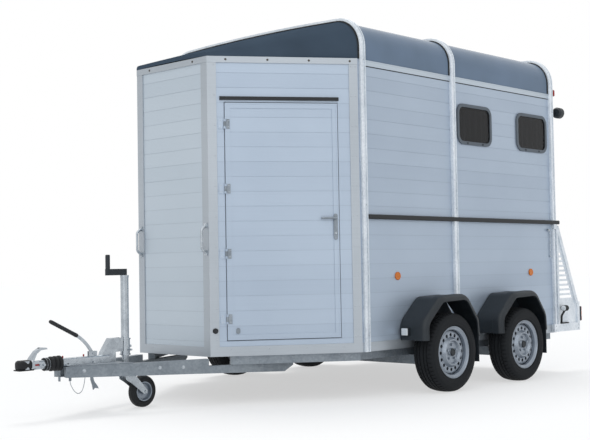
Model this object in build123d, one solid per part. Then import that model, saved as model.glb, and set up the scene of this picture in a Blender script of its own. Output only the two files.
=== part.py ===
"""Tandem-axle aluminium horse trailer with a tack room in its pointed nose.

Millimetres. +X is forward to the coupling, +Y the trailer's left, +Z up, Z = 0 the ground.
X = 0 is half way between the rear guards and the tip of the coupling.
"""
import os
from math import atan2, cos, hypot, radians, sin, sqrt

from build123d import *

# Body shell, outside faces
overall_height = 2830
roof_rise = 375
body_half_width = 1027
nose_half_width = 387
nose_x = 1299
nose_length = 875
body_length = 3482
body_bottom_z = 343
wall_t = 30
floor_t = 24
skirt_height = 68
trim_height = 45
trim_t = 6
plank_pitch = 105
groove_width = 4
groove_depth = 1.6
clear = 0.3

wall_top_z = overall_height - roof_rise
shoulder_x = nose_x - nose_length
rear_x = nose_x - body_length

# Hoops and roof
hoop_width = 50
hoop_depth = 28
hoop_lip = 6
hoop_spacing = 1106
hoop_corner_radius = 250
roof_crown_radius = 6000
roof_t = 18
nose_roof_edge = 34

hoop_x = (shoulder_x - 44, shoulder_x - 44 - hoop_spacing, rear_x - hoop_width / 2)

# Running gear
axle_spread = 985
rear_overhang = 812
wheel_radius = 298
tyre_width = 186
tyre_gap = 43
rim_radius = 195
rim_width = 162
vent_count = 16
vent_circle = 130
bolt_count = 5
bolt_circle = 56
axle_tube = 70
axle_lead = 150
stub_radius = 20

axle_x = (rear_x + rear_overhang + axle_spread, rear_x + rear_overhang)
wheel_y = body_half_width + tyre_gap + tyre_width / 2
guard_outer_y = wheel_y + tyre_width / 2 + 14

# Chassis and drawbar
rail_height = 60
rail_width = 50
rail_inset = 18
side_rail_inset = 60
drawbar_front = (nose_x + 975, 45)
drawbar_rear = (nose_x - 535, 565)
drawbar_width = 50
drawbar_drop = 12
drawbar_front_height = 70
drawbar_mid_height = 112
drawbar_rear_height = 130

# Coupling and overrun device
housing_x = (nose_x + 601, nose_x + 979)
housing_half_width = 36
housing_height = 48
gusset_t = 6
gusset_rear_x = housing_x[0] - 60
clamp_seat = -72
shaft_radius = 20
bellows_length = 135
bellows_radius = 50
collar_radius = 42
ball_radius = 25.4
ball_reach = 135
head_radius = 34
head_height = 58

bellows_front_x = housing_x[1] + bellows_length
beam_top_z = body_bottom_z - drawbar_drop
housing_foot_z = beam_top_z + gusset_t + clear
housing_top_z = housing_foot_z + housing_height
coupling_z = housing_foot_z + 18
ball_x = bellows_front_x + ball_reach
coupling_tip_x = ball_x + 66

# Jockey wheel
jockey_x = nose_x + 447
jockey_tube_radius = 28
jockey_tube_length = 537
jockey_leg_radius = 23
jockey_wheel_radius = 110
jockey_wheel_width = 60
jockey_trail = 145
jockey_fork_z = 258
crank_radius = 142
axle_pin_radius = 7
cable_radius = 2.5

jockey_tube_z = (beam_top_z + 37, beam_top_z + 37 + jockey_tube_length)

# Tack room door, places along the left angled wall from the front corner
door_start = 120
door_rear_margin = 154
door_gap = 6
door_t = 30
door_frame_width = 38
door_frame_proud = 7
hinge_out = 16
hinge_barrel_radius = 7
hinge_pin_radius = 4

door_z = (body_bottom_z + 112, wall_top_z - 330)
door_hinge_z = [door_z[0] + 147 + k * (door_z[1] - door_z[0] - 298) / 3 for k in range(4)]
lock_z = door_z[0] + 787
hinge_s = door_start - door_gap / 2

# Windows: left ends and heights of the outer frame
window_x = (rear_x + 909, rear_x + 46)
window_length = 484
window_height = 328
window_drop = 207
window_corner = 78
window_rim = 26
window_proud = 12

window_z = (wall_top_z - window_drop - window_height, wall_top_z - window_drop)

# Rear end
ramp_t = 45
ramp_height = 1402
ramp_side_gap = 42
flap_t = 32
flap_gap = 10
ramp_pin_radius = 8
flap_pin_radius = 5
rear_post = 60
rear_sill = 40
rub_rail_height = 34
rub_rail_proud = 34
guard_t = 28
guard_run = 309
guard_knee_z = 593
guard_tube = 40
guard_post = 40
light_length = 27

ramp_half_width = body_half_width - ramp_side_gap
ramp_top_z = body_bottom_z + ramp_height
ramp_hinge_z = body_bottom_z + 25
ramp_hinge_y = [k * (ramp_half_width - 205) / 3 for k in (-3, -1, 1, 3)]
ramp_axis_x = hoop_x[2] - hoop_width / 2 - 5 - ramp_t / 2
flap_top_z = wall_top_z - 35
flap_hinge_z = flap_top_z + 14
flap_hinge_y = [k * (ramp_half_width - 345) for k in (-1, 0, 1)]
flap_axis_x = hoop_x[2] - hoop_width / 2 - 5 - flap_t / 2
rail_z = (1297, 1297 + rub_rail_height)
guard_y = (body_half_width + 7, body_half_width + 7 + guard_t)
guard_kink = (hoop_x[2] - 30, rail_z[0] - 21)
guard_knee = (guard_kink[0] - guard_run, guard_knee_z)
guard_post_x = (guard_knee[0] - guard_post, guard_knee[0])
guard_beam_z = (body_bottom_z + 6, body_bottom_z + 74)
rear_end_x = guard_post_x[0] - light_length
light_y = (body_half_width - 31, body_half_width + 39)

# Partition between the stalls, swinging on the left wall
partition_x = hoop_x[1] + 296
partition_y = body_half_width - 77
partition_end_gap = 315
partition_angle = 68
partition_z = (body_bottom_z + 87, wall_top_z - 305)
partition_board_height = 970
partition_tube = 20
partition_head = 720
partition_pin_radius = 10

partition_board_z = (partition_z[0] + 50, partition_z[0] + 50 + partition_board_height)
partition_length = (partition_y + body_half_width - wall_t - partition_end_gap) / sin(
    radians(partition_angle)
)


LOW = (Align.CENTER, Align.CENTER, Align.MIN)


def block(x, y, z):
    """A box from its three pairs of limits."""
    centre = ((x[0] + x[1]) / 2, (y[0] + y[1]) / 2, (z[0] + z[1]) / 2)
    return Pos(*centre) * Box(x[1] - x[0], y[1] - y[0], z[1] - z[0])


def plan(points, z0, z1):
    """A plan outline raised from z0 to z1."""
    face = make_face(Polyline(*points, close=True))
    return Pos(0, 0, z0) * extrude(face, z1 - z0)


def side_plane(y):
    """A plane whose sketches read as X and Z, facing the trailer's right."""
    return Plane(origin=(0, y, 0), x_dir=(1, 0, 0), z_dir=(0, -1, 0))


def profile(points, y0, y1):
    """A side outline of (x, z) points, from y0 to y1."""
    face = make_face(Polyline(*points, close=True))
    return side_plane(y1) * extrude(face, y1 - y0)


def rod(start, end, radius):
    """A round bar between two points."""
    a, b = Vector(*start), Vector(*end)
    along = b - a
    return Plane(origin=a, z_dir=along) * Cylinder(radius, along.length, align=LOW)


def bar(start, end, half_width, half_height):
    """A square bar in a side view, between two (x, z) points, half_width each way in Y."""
    dx, dz = end[0] - start[0], end[1] - start[1]
    length = hypot(dx, dz)
    nx, nz = -dz / length * half_height, dx / length * half_height
    points = [
        (start[0] + nx, start[1] + nz),
        (end[0] + nx, end[1] + nz),
        (end[0] - nx, end[1] - nz),
        (start[0] - nx, start[1] - nz),
    ]
    return profile(points, half_width[0], half_width[1])


def both_sides(*shapes):
    """The shapes and their mirror images across the trailer's middle."""
    solids = [solid for shape in shapes for solid in shape.solids()]
    return Compound(children=solids + [mirror(solid, about=Plane.XZ) for solid in solids])


def group(*shapes):
    """Solids that belong to one piece."""
    return Compound(children=[solid for shape in shapes for solid in shape.solids()])


def outline(inset):
    """The body's plan, clockwise from the left rear corner, moved inwards."""
    width = body_half_width - inset
    length = hypot(shoulder_x - nose_x, body_half_width - nose_half_width)
    nx = (body_half_width - nose_half_width) / length
    ny = (nose_x - shoulder_x) / length
    reach = nose_x * nx + nose_half_width * ny - inset
    front = nose_x - inset
    shoulder = (reach - width * ny) / nx
    nose = (reach - front * nx) / ny
    return [
        (rear_x, width),
        (shoulder, width),
        (front, nose),
        (front, -nose),
        (shoulder, -width),
        (rear_x, -width),
    ]


def strip(index, outer, inner, z0, z1):
    """One wall of the body's plan, between two insets."""
    a, b = outline(outer)[index], outline(outer)[index + 1]
    c, d = outline(inner)[index + 1], outline(inner)[index]
    return plan([a, b, c, d], z0, z1)


# The left angled wall's own plane: x along it from the front corner, y up, z outwards
wall_run = hypot(nose_x - shoulder_x, body_half_width - nose_half_width)
wall_dir = ((shoulder_x - nose_x) / wall_run, (body_half_width - nose_half_width) / wall_run, 0)
door_end = wall_run - door_rear_margin
angled = Plane(
    origin=(nose_x, nose_half_width, 0), x_dir=wall_dir, z_dir=(wall_dir[1], -wall_dir[0], 0)
)


def on_angled(s, z, out):
    """A box on the left angled wall: run from the corner, height, and distance outwards."""
    return angled * block(s, z, out)


def arch(lift, bottom):
    """The roof's cross-section in (y, z), moved outwards by lift, open at its foot."""
    half = body_half_width + hoop_depth
    radius = hoop_corner_radius
    corner_y = half - radius
    drop = sqrt((roof_crown_radius - radius) ** 2 - corner_y**2)
    corner_z = overall_height - roof_crown_radius + drop
    slope = atan2(corner_y, drop)
    r = radius + lift
    side = corner_y + r
    join = (corner_y + r * sin(slope), corner_z + r * cos(slope))
    middle = slope + (radians(90) - slope) / 2
    knee = (corner_y + r * sin(middle), corner_z + r * cos(middle))
    top = (0, overall_height + lift)
    lines = [
        Line((side, bottom), (side, corner_z)),
        ThreePointArc((side, corner_z), knee, join),
        ThreePointArc(join, top, (-join[0], join[1])),
        ThreePointArc((-join[0], join[1]), (-knee[0], knee[1]), (-side, corner_z)),
        Line((-side, corner_z), (-side, bottom)),
        Line((-side, bottom), (side, bottom)),
    ]
    return make_face(Wire([edge for line in lines for edge in line.edges()]))


def across(face, x0, x1):
    """A (y, z) section carried along X from x0 to x1."""
    return Plane(origin=(x0, 0, 0), x_dir=(0, 1, 0), z_dir=(1, 0, 0)) * extrude(face, x1 - x0)


def floor():
    return plan(outline(wall_t + clear), body_bottom_z, body_bottom_z + floor_t)


def grooves(z0, z1):
    """The heights of the seams between planks, as pairs of limits."""
    count = int((wall_top_z - body_bottom_z) / plank_pitch)
    rows = [body_bottom_z + plank_pitch * (index + 1) for index in range(count)]
    half = groove_width / 2
    return [(z - half, z + half) for z in rows if z0 + half < z < z1 - half]


def plank_wall(index):
    """One wall of the body's plan, of planks with a shallow groove at each seam."""
    rows = grooves(body_bottom_z, wall_top_z)
    wall = strip(index, 0, wall_t, body_bottom_z, wall_top_z)
    return wall - [strip(index, -1, groove_depth, *row) for row in rows]


def front_wall():
    return plank_wall(2)


def upright_pin(z, radius, length):
    """A pin on the tack room door's hinge line."""
    return angled * (Pos(hinge_s, z, hinge_out) * (Rot(90, 0, 0) * Cylinder(radius, length)))


def left_front_wall():
    """The angled wall with the tack room's doorway and the fixed half of each hinge."""
    wall = plank_wall(1)
    opening = on_angled(
        (door_start - door_gap, door_end + door_gap),
        (door_z[0] - door_gap, door_z[1] + door_gap),
        (-2 * wall_t, wall_t),
    )
    wall -= opening
    for z in door_hinge_z:
        wall += on_angled((hinge_s - 44, hinge_s - 10), (z - 34, z + 34), (-1, 6))
        wall += on_angled((hinge_s - 12, hinge_s), (z - 34, z + 34), (1, hinge_out - 4)) - on_angled(
            (hinge_s - 8, hinge_s + 9), (z - 18, z + 18), (0, hinge_out + 9)
        )
        wall += upright_pin(z, hinge_pin_radius, 68)
        for side in (-1, 1):
            wall += upright_pin(z + side * 26, hinge_barrel_radius, 16)
    return wall


def right_front_wall():
    return plank_wall(3)


def window_outline(x, inset):
    """A window's rounded outline in the side view, moved inwards."""
    width = window_length - 2 * inset
    height = window_z[1] - window_z[0] - 2 * inset
    centre = (x + window_length / 2, (window_z[0] + window_z[1]) / 2)
    return Pos(*centre) * RectangleRounded(width, height, window_corner - inset)


def window_solid(x, inset, y0, y1):
    return side_plane(y1) * extrude(window_outline(x, inset), y1 - y0)


def left_side_wall():
    wall = plank_wall(0)
    for x in window_x:
        wall -= window_solid(x, window_rim - 8, body_half_width - 2 * wall_t, body_half_width + wall_t)
    return wall


def right_side_wall():
    return mirror(left_side_wall(), about=Plane.XZ)


def window_frames():
    frames = []
    for x in window_x:
        rim = window_solid(x, 0, body_half_width + clear, body_half_width + window_proud)
        rim += window_solid(
            x, window_rim - 7.5, body_half_width - wall_t, body_half_width + window_proud
        )
        rim -= window_solid(x, window_rim, body_half_width - 2 * wall_t, body_half_width + wall_t)
        frames.append(rim)
    return both_sides(*frames)


def window_panes():
    y = body_half_width - 4
    return both_sides(*[window_solid(x, window_rim + clear, y, y + 6) for x in window_x])


def window_bars():
    """Guard bars behind each window, welded to a flat frame on the wall's inside."""
    y = body_half_width - wall_t - 14
    sets = []
    for x in window_x:
        frame = window_solid(x, -12, y, body_half_width - wall_t - clear)
        frame -= window_solid(x, 12, y - 1, body_half_width)
        for step in range(1, 6):
            centre = x + window_length * step / 6
            frame += rod((centre, y + 5, window_z[0]), (centre, y + 5, window_z[1]), 5)
        sets.append(frame)
    return both_sides(*sets)


def bulkhead():
    x0 = hoop_x[0] - hoop_width / 2 - 30
    lift = -hoop_depth - roof_t - clear
    half = body_half_width - wall_t - clear
    panel = across(arch(lift, wall_top_z), x0, x0 + 25) + block(
        (x0, x0 + 25), (-half, half), (body_bottom_z + floor_t + clear, wall_top_z)
    )
    return panel


def hoop(x, foot_z):
    """A pressed hoop: a raised band between two narrow lips."""
    half = hoop_width / 2
    band = across(arch(0, foot_z), x - half + hoop_lip, x + half - hoop_lip)
    lips = across(arch(-hoop_depth / 4, foot_z), x - half, x + half)
    hollow = across(arch(-hoop_depth, foot_z - 10), x - hoop_width, x + hoop_width)
    return band + lips - hollow


def hoops():
    """The three galvanised hoops; the rear one ends on the guard's tube."""
    feet = (body_bottom_z, body_bottom_z, rail_z[0])
    return group(*[hoop(x, foot) for x, foot in zip(hoop_x, feet)])


def rear_roof():
    x0, x1 = hoop_x[2] - hoop_width / 2, hoop_x[0] + hoop_width / 2
    shell = across(arch(-hoop_depth - clear, wall_top_z + clear), x0, x1)
    return shell - across(arch(-hoop_depth - roof_t, wall_top_z - 10), x0 - 10, x1 + 10)


def nose_section(half, foot_z, rise, radius):
    """The nose roof's flat front edge, with the same six lines as the arch."""
    low = 0.7 * radius
    lines = [
        Line((half, foot_z), (half, foot_z + rise - radius)),
        ThreePointArc(
            (half, foot_z + rise - radius),
            (half - radius + low, foot_z + rise - radius + low),
            (half - radius, foot_z + rise),
        ),
        ThreePointArc(
            (half - radius, foot_z + rise), (0, foot_z + rise + 8), (radius - half, foot_z + rise)
        ),
        ThreePointArc(
            (radius - half, foot_z + rise),
            (radius - half - low, foot_z + rise - radius + low),
            (-half, foot_z + rise - radius),
        ),
        Line((-half, foot_z + rise - radius), (-half, foot_z)),
        Line((-half, foot_z), (half, foot_z)),
    ]
    return make_face(Wire([edge for line in lines for edge in line.edges()]))


def section_at(face, x):
    return Plane(origin=(x, 0, 0), x_dir=(0, 1, 0), z_dir=(1, 0, 0)) * face


def front_roof():
    start = hoop_x[0] + hoop_width / 2
    foot = wall_top_z + clear
    inner_nose = nose_section(nose_half_width - roof_t, foot - 40, nose_roof_edge + 22, 10)
    outer = loft(
        [
            section_at(arch(-hoop_depth - clear, foot), start + clear),
            section_at(nose_section(nose_half_width + trim_t, foot, nose_roof_edge, 24), nose_x + trim_t),
        ],
        ruled=True,
    )
    inner = loft(
        [
            section_at(arch(-hoop_depth - roof_t, foot - 40), start - 20),
            section_at(inner_nose, nose_x - roof_t),
        ],
        ruled=True,
    )
    return outer - inner


def cross_pin(x, y, z, radius, reach):
    """A pin along Y, reaching both ways from y."""
    return rod((x, y - reach, z), (x, y + reach, z), radius)


def rear_frame():
    """Two rear posts, a sill, a header with the arched panel over it, and the fixed knuckles."""
    x = (hoop_x[2] - hoop_width / 2, rear_x - clear)
    half = body_half_width - rear_post
    frame = block(x, (half, body_half_width), (body_bottom_z, wall_top_z))
    frame += block(x, (-body_half_width, -half), (body_bottom_z, wall_top_z))
    frame += block(x, (-half, half), (wall_top_z - rear_post, wall_top_z))
    frame += block(x, (-half, half), (body_bottom_z, body_bottom_z + rear_sill))
    frame += across(arch(-hoop_depth - roof_t - clear, wall_top_z), x[0], x[0] + 25)
    for y in ramp_hinge_y:
        for side in (-1, 1):
            near, far = sorted((y + side * 51, y + side * 75))
            frame += rod((ramp_axis_x, near, ramp_hinge_z), (ramp_axis_x, far, ramp_hinge_z), 14)
            frame += block((ramp_axis_x, x[0] + 1), (near, far), (ramp_hinge_z - 14, ramp_hinge_z + 6))
        frame += cross_pin(ramp_axis_x, y, ramp_hinge_z, ramp_pin_radius, 75)
    for y in flap_hinge_y:
        for side in (-1, 1):
            near, far = sorted((y + side * 66, y + side * 90))
            frame += rod((flap_axis_x, near, flap_hinge_z), (flap_axis_x, far, flap_hinge_z), 9)
            frame += block((flap_axis_x, x[0] + 1), (near, far), (flap_hinge_z - 4, flap_hinge_z + 8))
        frame += cross_pin(flap_axis_x, y, flap_hinge_z, flap_pin_radius, 90)
    return frame


def corner_posts():
    """Folded strips over the four upright corners and beside the front hoop."""
    reach = 62
    solids = []
    z = (body_bottom_z, wall_top_z - trim_height)
    left = strip(1, -trim_t, -clear, *z) & on_angled((-20, reach), z, (-5, 30))
    y = (nose_half_width - reach, nose_half_width + 99)
    front = strip(2, -trim_t, -clear, *z) & block((nose_x - 5, nose_x + 30), y, z)
    solids.append(left + front)
    rear = strip(1, -trim_t, -clear, *z) & on_angled((wall_run - reach, wall_run + 20), z, (-5, 30))
    solids.append(rear)
    return both_sides(*solids)


def corner_seams():
    """The hairline gaps where the top strips meet at the nose's two corners."""
    z = (wall_top_z - trim_height - 10, wall_top_z + 10)
    seam = on_angled((-clear / 2, clear / 2), z, (-30, 30))
    return seam + mirror(seam, about=Plane.XZ)


def edge_trim():
    """The folded strips along the walls' top round the nose and along their foot all round."""
    x1 = hoop_x[0] + hoop_width / 2 + clear
    z1 = wall_top_z
    behind = block((rear_x - 400, x1), (-body_half_width - 99, body_half_width + 99), (0, z1 + 200))
    tops = [strip(index, -trim_t - 2, -clear, z1 - trim_height + clear, z1) for index in (1, 2, 3)]
    foot = strip(0, -trim_t, -clear, body_bottom_z, body_bottom_z + skirt_height)
    for index in range(1, 5):
        foot += strip(index, -trim_t, -clear, body_bottom_z, body_bottom_z + skirt_height)
    for x in hoop_x:
        half = hoop_width / 2 + clear
        foot -= block((x - half, x + half), (-body_half_width - 99, body_half_width + 99), (0, 600))
    return group(*[top - behind - corner_seams() for top in tops], foot - corner_posts())


def rub_rails():
    """A moulded rail along each side wall, let in over the middle and rear hoops."""
    y = (body_half_width + clear, body_half_width + rub_rail_proud)
    x = (hoop_x[2] - hoop_width / 2 - 45, hoop_x[0] - hoop_width / 2 - clear)
    rail = block(x, y, rail_z)
    rail = fillet([edge for edge in rail.edges().filter_by(Axis.X) if edge.center().Y > y[1] - 1], 9)
    for hoop_at in hoop_x[1:]:
        half = hoop_width / 2 + clear
        pocket = (y[0] - 1, body_half_width + hoop_depth + clear)
        rail -= block((hoop_at - half, hoop_at + half), pocket, (rail_z[0] - 1, rail_z[1] + 1))
    return both_sides(rail)


def tack_door_leaf():
    leaf = on_angled((door_start, door_end), door_z, (-door_t, 0))
    return leaf - [on_angled((0, wall_run), row, (-groove_depth, 5)) for row in grooves(*door_z)]


def tack_door_frame():
    """The stepped profile round the leaf's edge."""
    frame = on_angled((door_start, door_end), door_z, (clear, door_frame_proud))
    for inset, low in ((10, door_frame_proud - 2), (door_frame_width, -10)):
        s = (door_start + inset, door_end - inset)
        frame -= on_angled(s, (door_z[0] + inset, door_z[1] - inset), (low, 20))
    return frame


def tack_door_fittings():
    """Hinge flaps with their barrels, the lever lock and the small oval lock."""
    solids = []
    out = door_frame_proud - 2 + clear
    for z in door_hinge_z:
        flap = on_angled((hinge_s + 14, hinge_s + 36), (z - 34, z + 34), (out, out + 5))
        flap += on_angled((hinge_s, hinge_s + 15), (z - 17, z + 17), (door_frame_proud + 1, out + 7))
        flap += upright_pin(z, hinge_barrel_radius, 34)
        solids.append(flap - upright_pin(z, hinge_pin_radius + clear, 40))
    s = door_end - 26
    plate = angled * (Pos(s, lock_z, out) * extrude(SlotOverall(186, 27, rotation=90), 9))
    grip = angled * (Pos(s - 48, lock_z + 62, out + 24) * (Rot(0, 90, 0) * Cylinder(8, 116)))
    neck = angled * (Pos(s, lock_z + 62, out + 16) * Cylinder(10, 26))
    oval_z = body_bottom_z + 176
    oval = angled * (Pos(door_start + 74, oval_z, clear) * extrude(SlotOverall(42, 28, rotation=90), 9))
    return group(plate + neck + grip, oval, *solids)


def door_gutter():
    """A drip rail over the door, with a lip along its outer edge."""
    z = (door_z[1] + 20, door_z[1] + 44)
    rail = on_angled((door_start - 36, door_end + 11), z, (clear, 16))
    return rail - on_angled((0, wall_run), (z[0] + 14, z[1] + 1), (5, 12))


def door_holder():
    """The catch that the opened tack room door clips to, at the foot of the nose."""
    plane = angled * Pos(34, body_bottom_z + 179, trim_t + clear)
    return plane * Cylinder(19, 10, align=LOW) + plane * Cylinder(11, 26, align=LOW)


def grab_handles():
    """A bowed round bar on two feet at each front corner."""
    y = nose_half_width - 28
    z = (1068, 1262)
    reach = nose_x + 46
    feet = [block((nose_x + trim_t + clear, nose_x + 14), (y - 17, y + 17), (h - 17, h + 17)) for h in z]
    path = Plane.XZ.offset(-y) * FilletPolyline(
        (nose_x + 12, z[0]), (reach, z[0] + 30), (reach, z[1] - 30), (nose_x + 12, z[1]), radius=24
    )
    grip = sweep(Plane(origin=path @ 0, z_dir=path % 0) * Circle(9), path=path)
    return both_sides(feet[0] + feet[1] + grip)


def mudguard_profile(x, inset):
    """A mudguard's side outline round its axle, moved inwards."""
    r = wheel_radius
    points = [
        (x + r + 85, r + 80),
        (x + r + 85, r + 248),
        (x + 170, 2 * r + 130),
        (x - 165, 2 * r + 140),
        (x - r - 24, r + 242),
        (x - r - 36, r + 80),
    ]
    face = make_face(Polyline(*points, close=True))
    face = fillet(face.vertices()[1:5], 60)
    return offset(face, -inset) if inset else face


def guard_form(x, inset, y, depth, rounding=0):
    """The guard's outline moved inwards, from y towards the wall, with its outer rim rounded."""
    form = side_plane(y) * extrude(mudguard_profile(x, inset), depth)
    if not rounding:
        return form
    low = wheel_radius + 100
    rim = [edge for edge in form.edges() if edge.center().Y > y - 1 and edge.center().Z > low]
    return fillet(rim, rounding)


def mudguard(x):
    """A moulded guard: a low inner band, a raised outer band and a bead round its mouth."""
    outer_y = guard_outer_y
    inner_y = body_half_width + trim_t + clear
    step_y = outer_y - 82
    r = wheel_radius
    shell = guard_form(x, 0, outer_y, outer_y - step_y, 42)
    shell += guard_form(x, 7, step_y + 1, step_y + 1 - inner_y)
    shell += guard_form(x, 36, outer_y + 4, 12)
    shell -= guard_form(x, 13, outer_y - 7, outer_y, 36)
    shell -= guard_form(x, 46, outer_y + 10, 60)
    span = (body_half_width - 99, outer_y + 99)
    shell -= block((x - r + 10, x + r + 39), span, (r, r + 172))
    shell -= block((x - r - 199, x + r + 199), span, (0, r + 107))
    for hoop_at in hoop_x:
        half = hoop_width / 2 + 4
        notch = (body_half_width - 99, body_half_width + hoop_depth + 4)
        shell -= block((hoop_at - half, hoop_at + half), notch, (r, 2 * r + 300))
    return shell


def mudguards():
    """The four guards, each with a rubber flap behind its wheel."""
    solids = []
    for x in axle_x:
        solids.append(mudguard(x))
        flap_x = (x - wheel_radius - 23 + clear, x - wheel_radius - 17)
        solids.append(block(flap_x, (wheel_y - 101, wheel_y + 89), (206, wheel_radius + 150)))
    return both_sides(*solids)


def axles():
    """A square torsion tube with trailing arms and stub axles, one for each pair of wheels."""
    tube_z = body_bottom_z - rail_height - axle_tube / 2
    half = axle_tube / 2
    arm_y = (wheel_y - 151, wheel_y - 113)
    solids = []
    for x in axle_x:
        tube_x = x + axle_lead
        reach = arm_y[0] + 2
        tube_top = body_bottom_z - rail_height - clear
        tube = block((tube_x - half, tube_x + half), (-reach, reach), (tube_z - half, tube_top))
        for side in (-1, 1):
            y = sorted((side * arm_y[0], side * arm_y[1]))
            arm = bar((tube_x, tube_z), (x, wheel_radius), y, 32)
            arm += rod((tube_x, y[0], tube_z), (tube_x, y[1], tube_z), 38)
            arm += rod((x, y[0], wheel_radius), (x, y[1], wheel_radius), 36)
            stub = (x, side * (arm_y[0] + 8), wheel_radius)
            arm += rod(stub, (x, side * (wheel_y + 12), wheel_radius), stub_radius)
            tube += arm
        solids.append(tube)
    return group(*solids)


def tyre_at(x, y):
    """A low car tyre as a ring turned about its axle."""
    half = tyre_width / 2
    r_in, r_out = rim_radius - 16, wheel_radius
    right = [
        (half - 60, r_out),
        (half - 30, r_out - 4),
        (half - 8, r_out - 26),
        (half, r_in + 52),
        (half - 8, rim_radius + 6),
        (half - 24, rim_radius + 1),
        (half - 31, r_in),
    ]
    points = right + [(-y, r) for y, r in reversed(right)]
    section = make_face(Polyline(*points, close=True))
    ring = revolve(Plane(origin=(0, 0, 0), x_dir=(0, 1, 0), z_dir=(1, 0, 0)) * section, Axis.Y)
    return Pos(x, y, wheel_radius) * ring


def rim_at(x, y, side):
    """A pressed steel wheel: lipped barrel, disc with a ring of vents, sunk bolt face and cap."""
    half = rim_width / 2
    inner = rim_radius - 16 - clear
    barrel = [
        (-half, rim_radius),
        (-half, rim_radius - 6),
        (-half + 12, inner - 4),
        (half - 40, inner - 4),
        (half - 34, inner - 12),
        (half - 14, inner - 8),
        (half - 4, rim_radius - 8),
        (half, rim_radius - 5),
        (half, rim_radius),
        (half - 6, rim_radius),
        (half - 14, inner),
        (-half + 14, inner),
        (-half + 6, rim_radius),
    ]
    face = half - 28
    disc = [
        (face - 26, inner - 3),
        (face - 5, vent_circle + 28),
        (face, vent_circle + 16),
        (face, vent_circle - 16),
        (face + 22, 98),
        (face + 22, 88),
        (face + 4, 78),
        (face + 4, 32),
        (face + 14, 27),
        (face + 14, 0),
        (16, 0),
        (16, stub_radius + 1),
        (-20, stub_radius + 1),
        (-20, 60),
        (16, 60),
        (face - 5, 74),
        (face + 13, 90),
        (face + 13, 95),
        (face - 9, vent_circle - 20),
        (face - 9, vent_circle + 16),
        (face - 14, vent_circle + 26),
        (face - 34, inner - 3),
    ]
    plane = Plane(origin=(0, 0, 0), x_dir=(0, side, 0), z_dir=(side, 0, 0))
    wheel = revolve(plane * make_face(Polyline(*barrel, close=True)), Axis.Y)
    wheel += revolve(plane * make_face(Polyline(*disc, close=True)), Axis.Y)
    outwards = Plane(origin=(0, side * (face - 20), 0), z_dir=(0, side, 0))
    for place in PolarLocations(vent_circle, vent_count):
        wheel -= outwards * place * Cylinder(13.5, 40, align=LOW)
    for place in PolarLocations(bolt_circle, bolt_count):
        wheel += outwards * place * Pos(0, 0, 22) * extrude(RegularPolygon(10, 6), 14)
    return Pos(x, y, wheel_radius) * wheel


def chassis_frame():
    """Galvanised rails under the walls, with cross members."""
    z = (body_bottom_z - rail_height, body_bottom_z - clear)
    outer = body_half_width - side_rail_inset
    inner = outer - rail_width
    frame = block((rear_x - 45, shoulder_x - 10), (inner, outer), z)
    frame += block((rear_x - 45, shoulder_x - 10), (-outer, -inner), z)
    nose = on_angled((140, wall_run - 10), z, (-rail_inset - rail_width, -rail_inset))
    frame += nose + mirror(nose, about=Plane.XZ)
    middle = (axle_x[0] + axle_x[1]) / 2
    for x in (rear_x - 20, axle_x[1] - 230, middle, axle_x[0] + 290, shoulder_x - 60):
        frame += block((x - 25, x + 25), (-inner - 1, inner + 1), z)
    return frame


beam_run = hypot(drawbar_front[0] - drawbar_rear[0], drawbar_rear[1] - drawbar_front[1])
beam_dir = (
    (drawbar_rear[0] - drawbar_front[0]) / beam_run,
    (drawbar_rear[1] - drawbar_front[1]) / beam_run,
    0,
)


def drawbar():
    """Two tapered beams that run together to the coupling, with a gusset over their front."""
    low = body_bottom_z - rail_height - clear
    step = beam_run * (drawbar_front[0] - nose_x - 20) / (drawbar_front[0] - drawbar_rear[0])
    tail = beam_run + 70
    points = [
        (0, beam_top_z - drawbar_front_height),
        (0, beam_top_z),
        (step, beam_top_z),
        (step, low),
        (tail, low),
        (tail, low - 26),
        (beam_run, body_bottom_z - drawbar_rear_height),
        (step, body_bottom_z - drawbar_mid_height),
    ]
    plane = Plane(
        origin=(drawbar_front[0], drawbar_front[1], 0), x_dir=beam_dir, z_dir=(beam_dir[1], -beam_dir[0], 0)
    )
    beam = plane * extrude(make_face(Polyline(*points, close=True)), drawbar_width / 2, both=True)
    spread = -beam_dir[1] / beam_dir[0]
    front_x = housing_x[1] - 21
    front_y = drawbar_front[1] + 22
    rear_y = front_y + (front_x - gusset_rear_x) * spread
    gusset = plan(
        [
            (front_x, front_y),
            (gusset_rear_x, rear_y),
            (gusset_rear_x, -rear_y),
            (front_x, -front_y),
        ],
        beam_top_z,
        beam_top_z + gusset_t,
    )
    return beam + mirror(beam, about=Plane.XZ) + gusset + drawbar_brackets()


def drawbar_brackets():
    """The strip that a parked plug clips to, the cable's lug and the brake rod's hooked bracket."""
    x = drawbar_front[0]
    low = beam_top_z - drawbar_front_height
    strip = block((x - 50, x - 22), (-42, 42), (low + 2, low + 8))
    strip += block((x - 50, x + 18), (-9, 9), (low + 2, low + 8))
    strip += block((x + 12, x + 18), (-9, 9), (low - 26, low + 8))
    lug = block((cable_start[0] - 8, cable_start[0] + 8), (52, 60), (cable_start[2], low + 12))
    hook = [(-148, 22), (-160, 22), (-176, -34), (-202, -66), (-212, -84)]
    hook += [(-180, -78), (-168, -90), (-162, -60), (-148, -20)]
    bracket = profile([(x + dx, low + dz) for dx, dz in hook], 114, 122)
    return strip + lug + bracket


cable_start = (drawbar_front[0] - 30, 56, beam_top_z - drawbar_front_height - 24)
cable_end = (drawbar_front[0] - 172, 40, beam_top_z)


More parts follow.
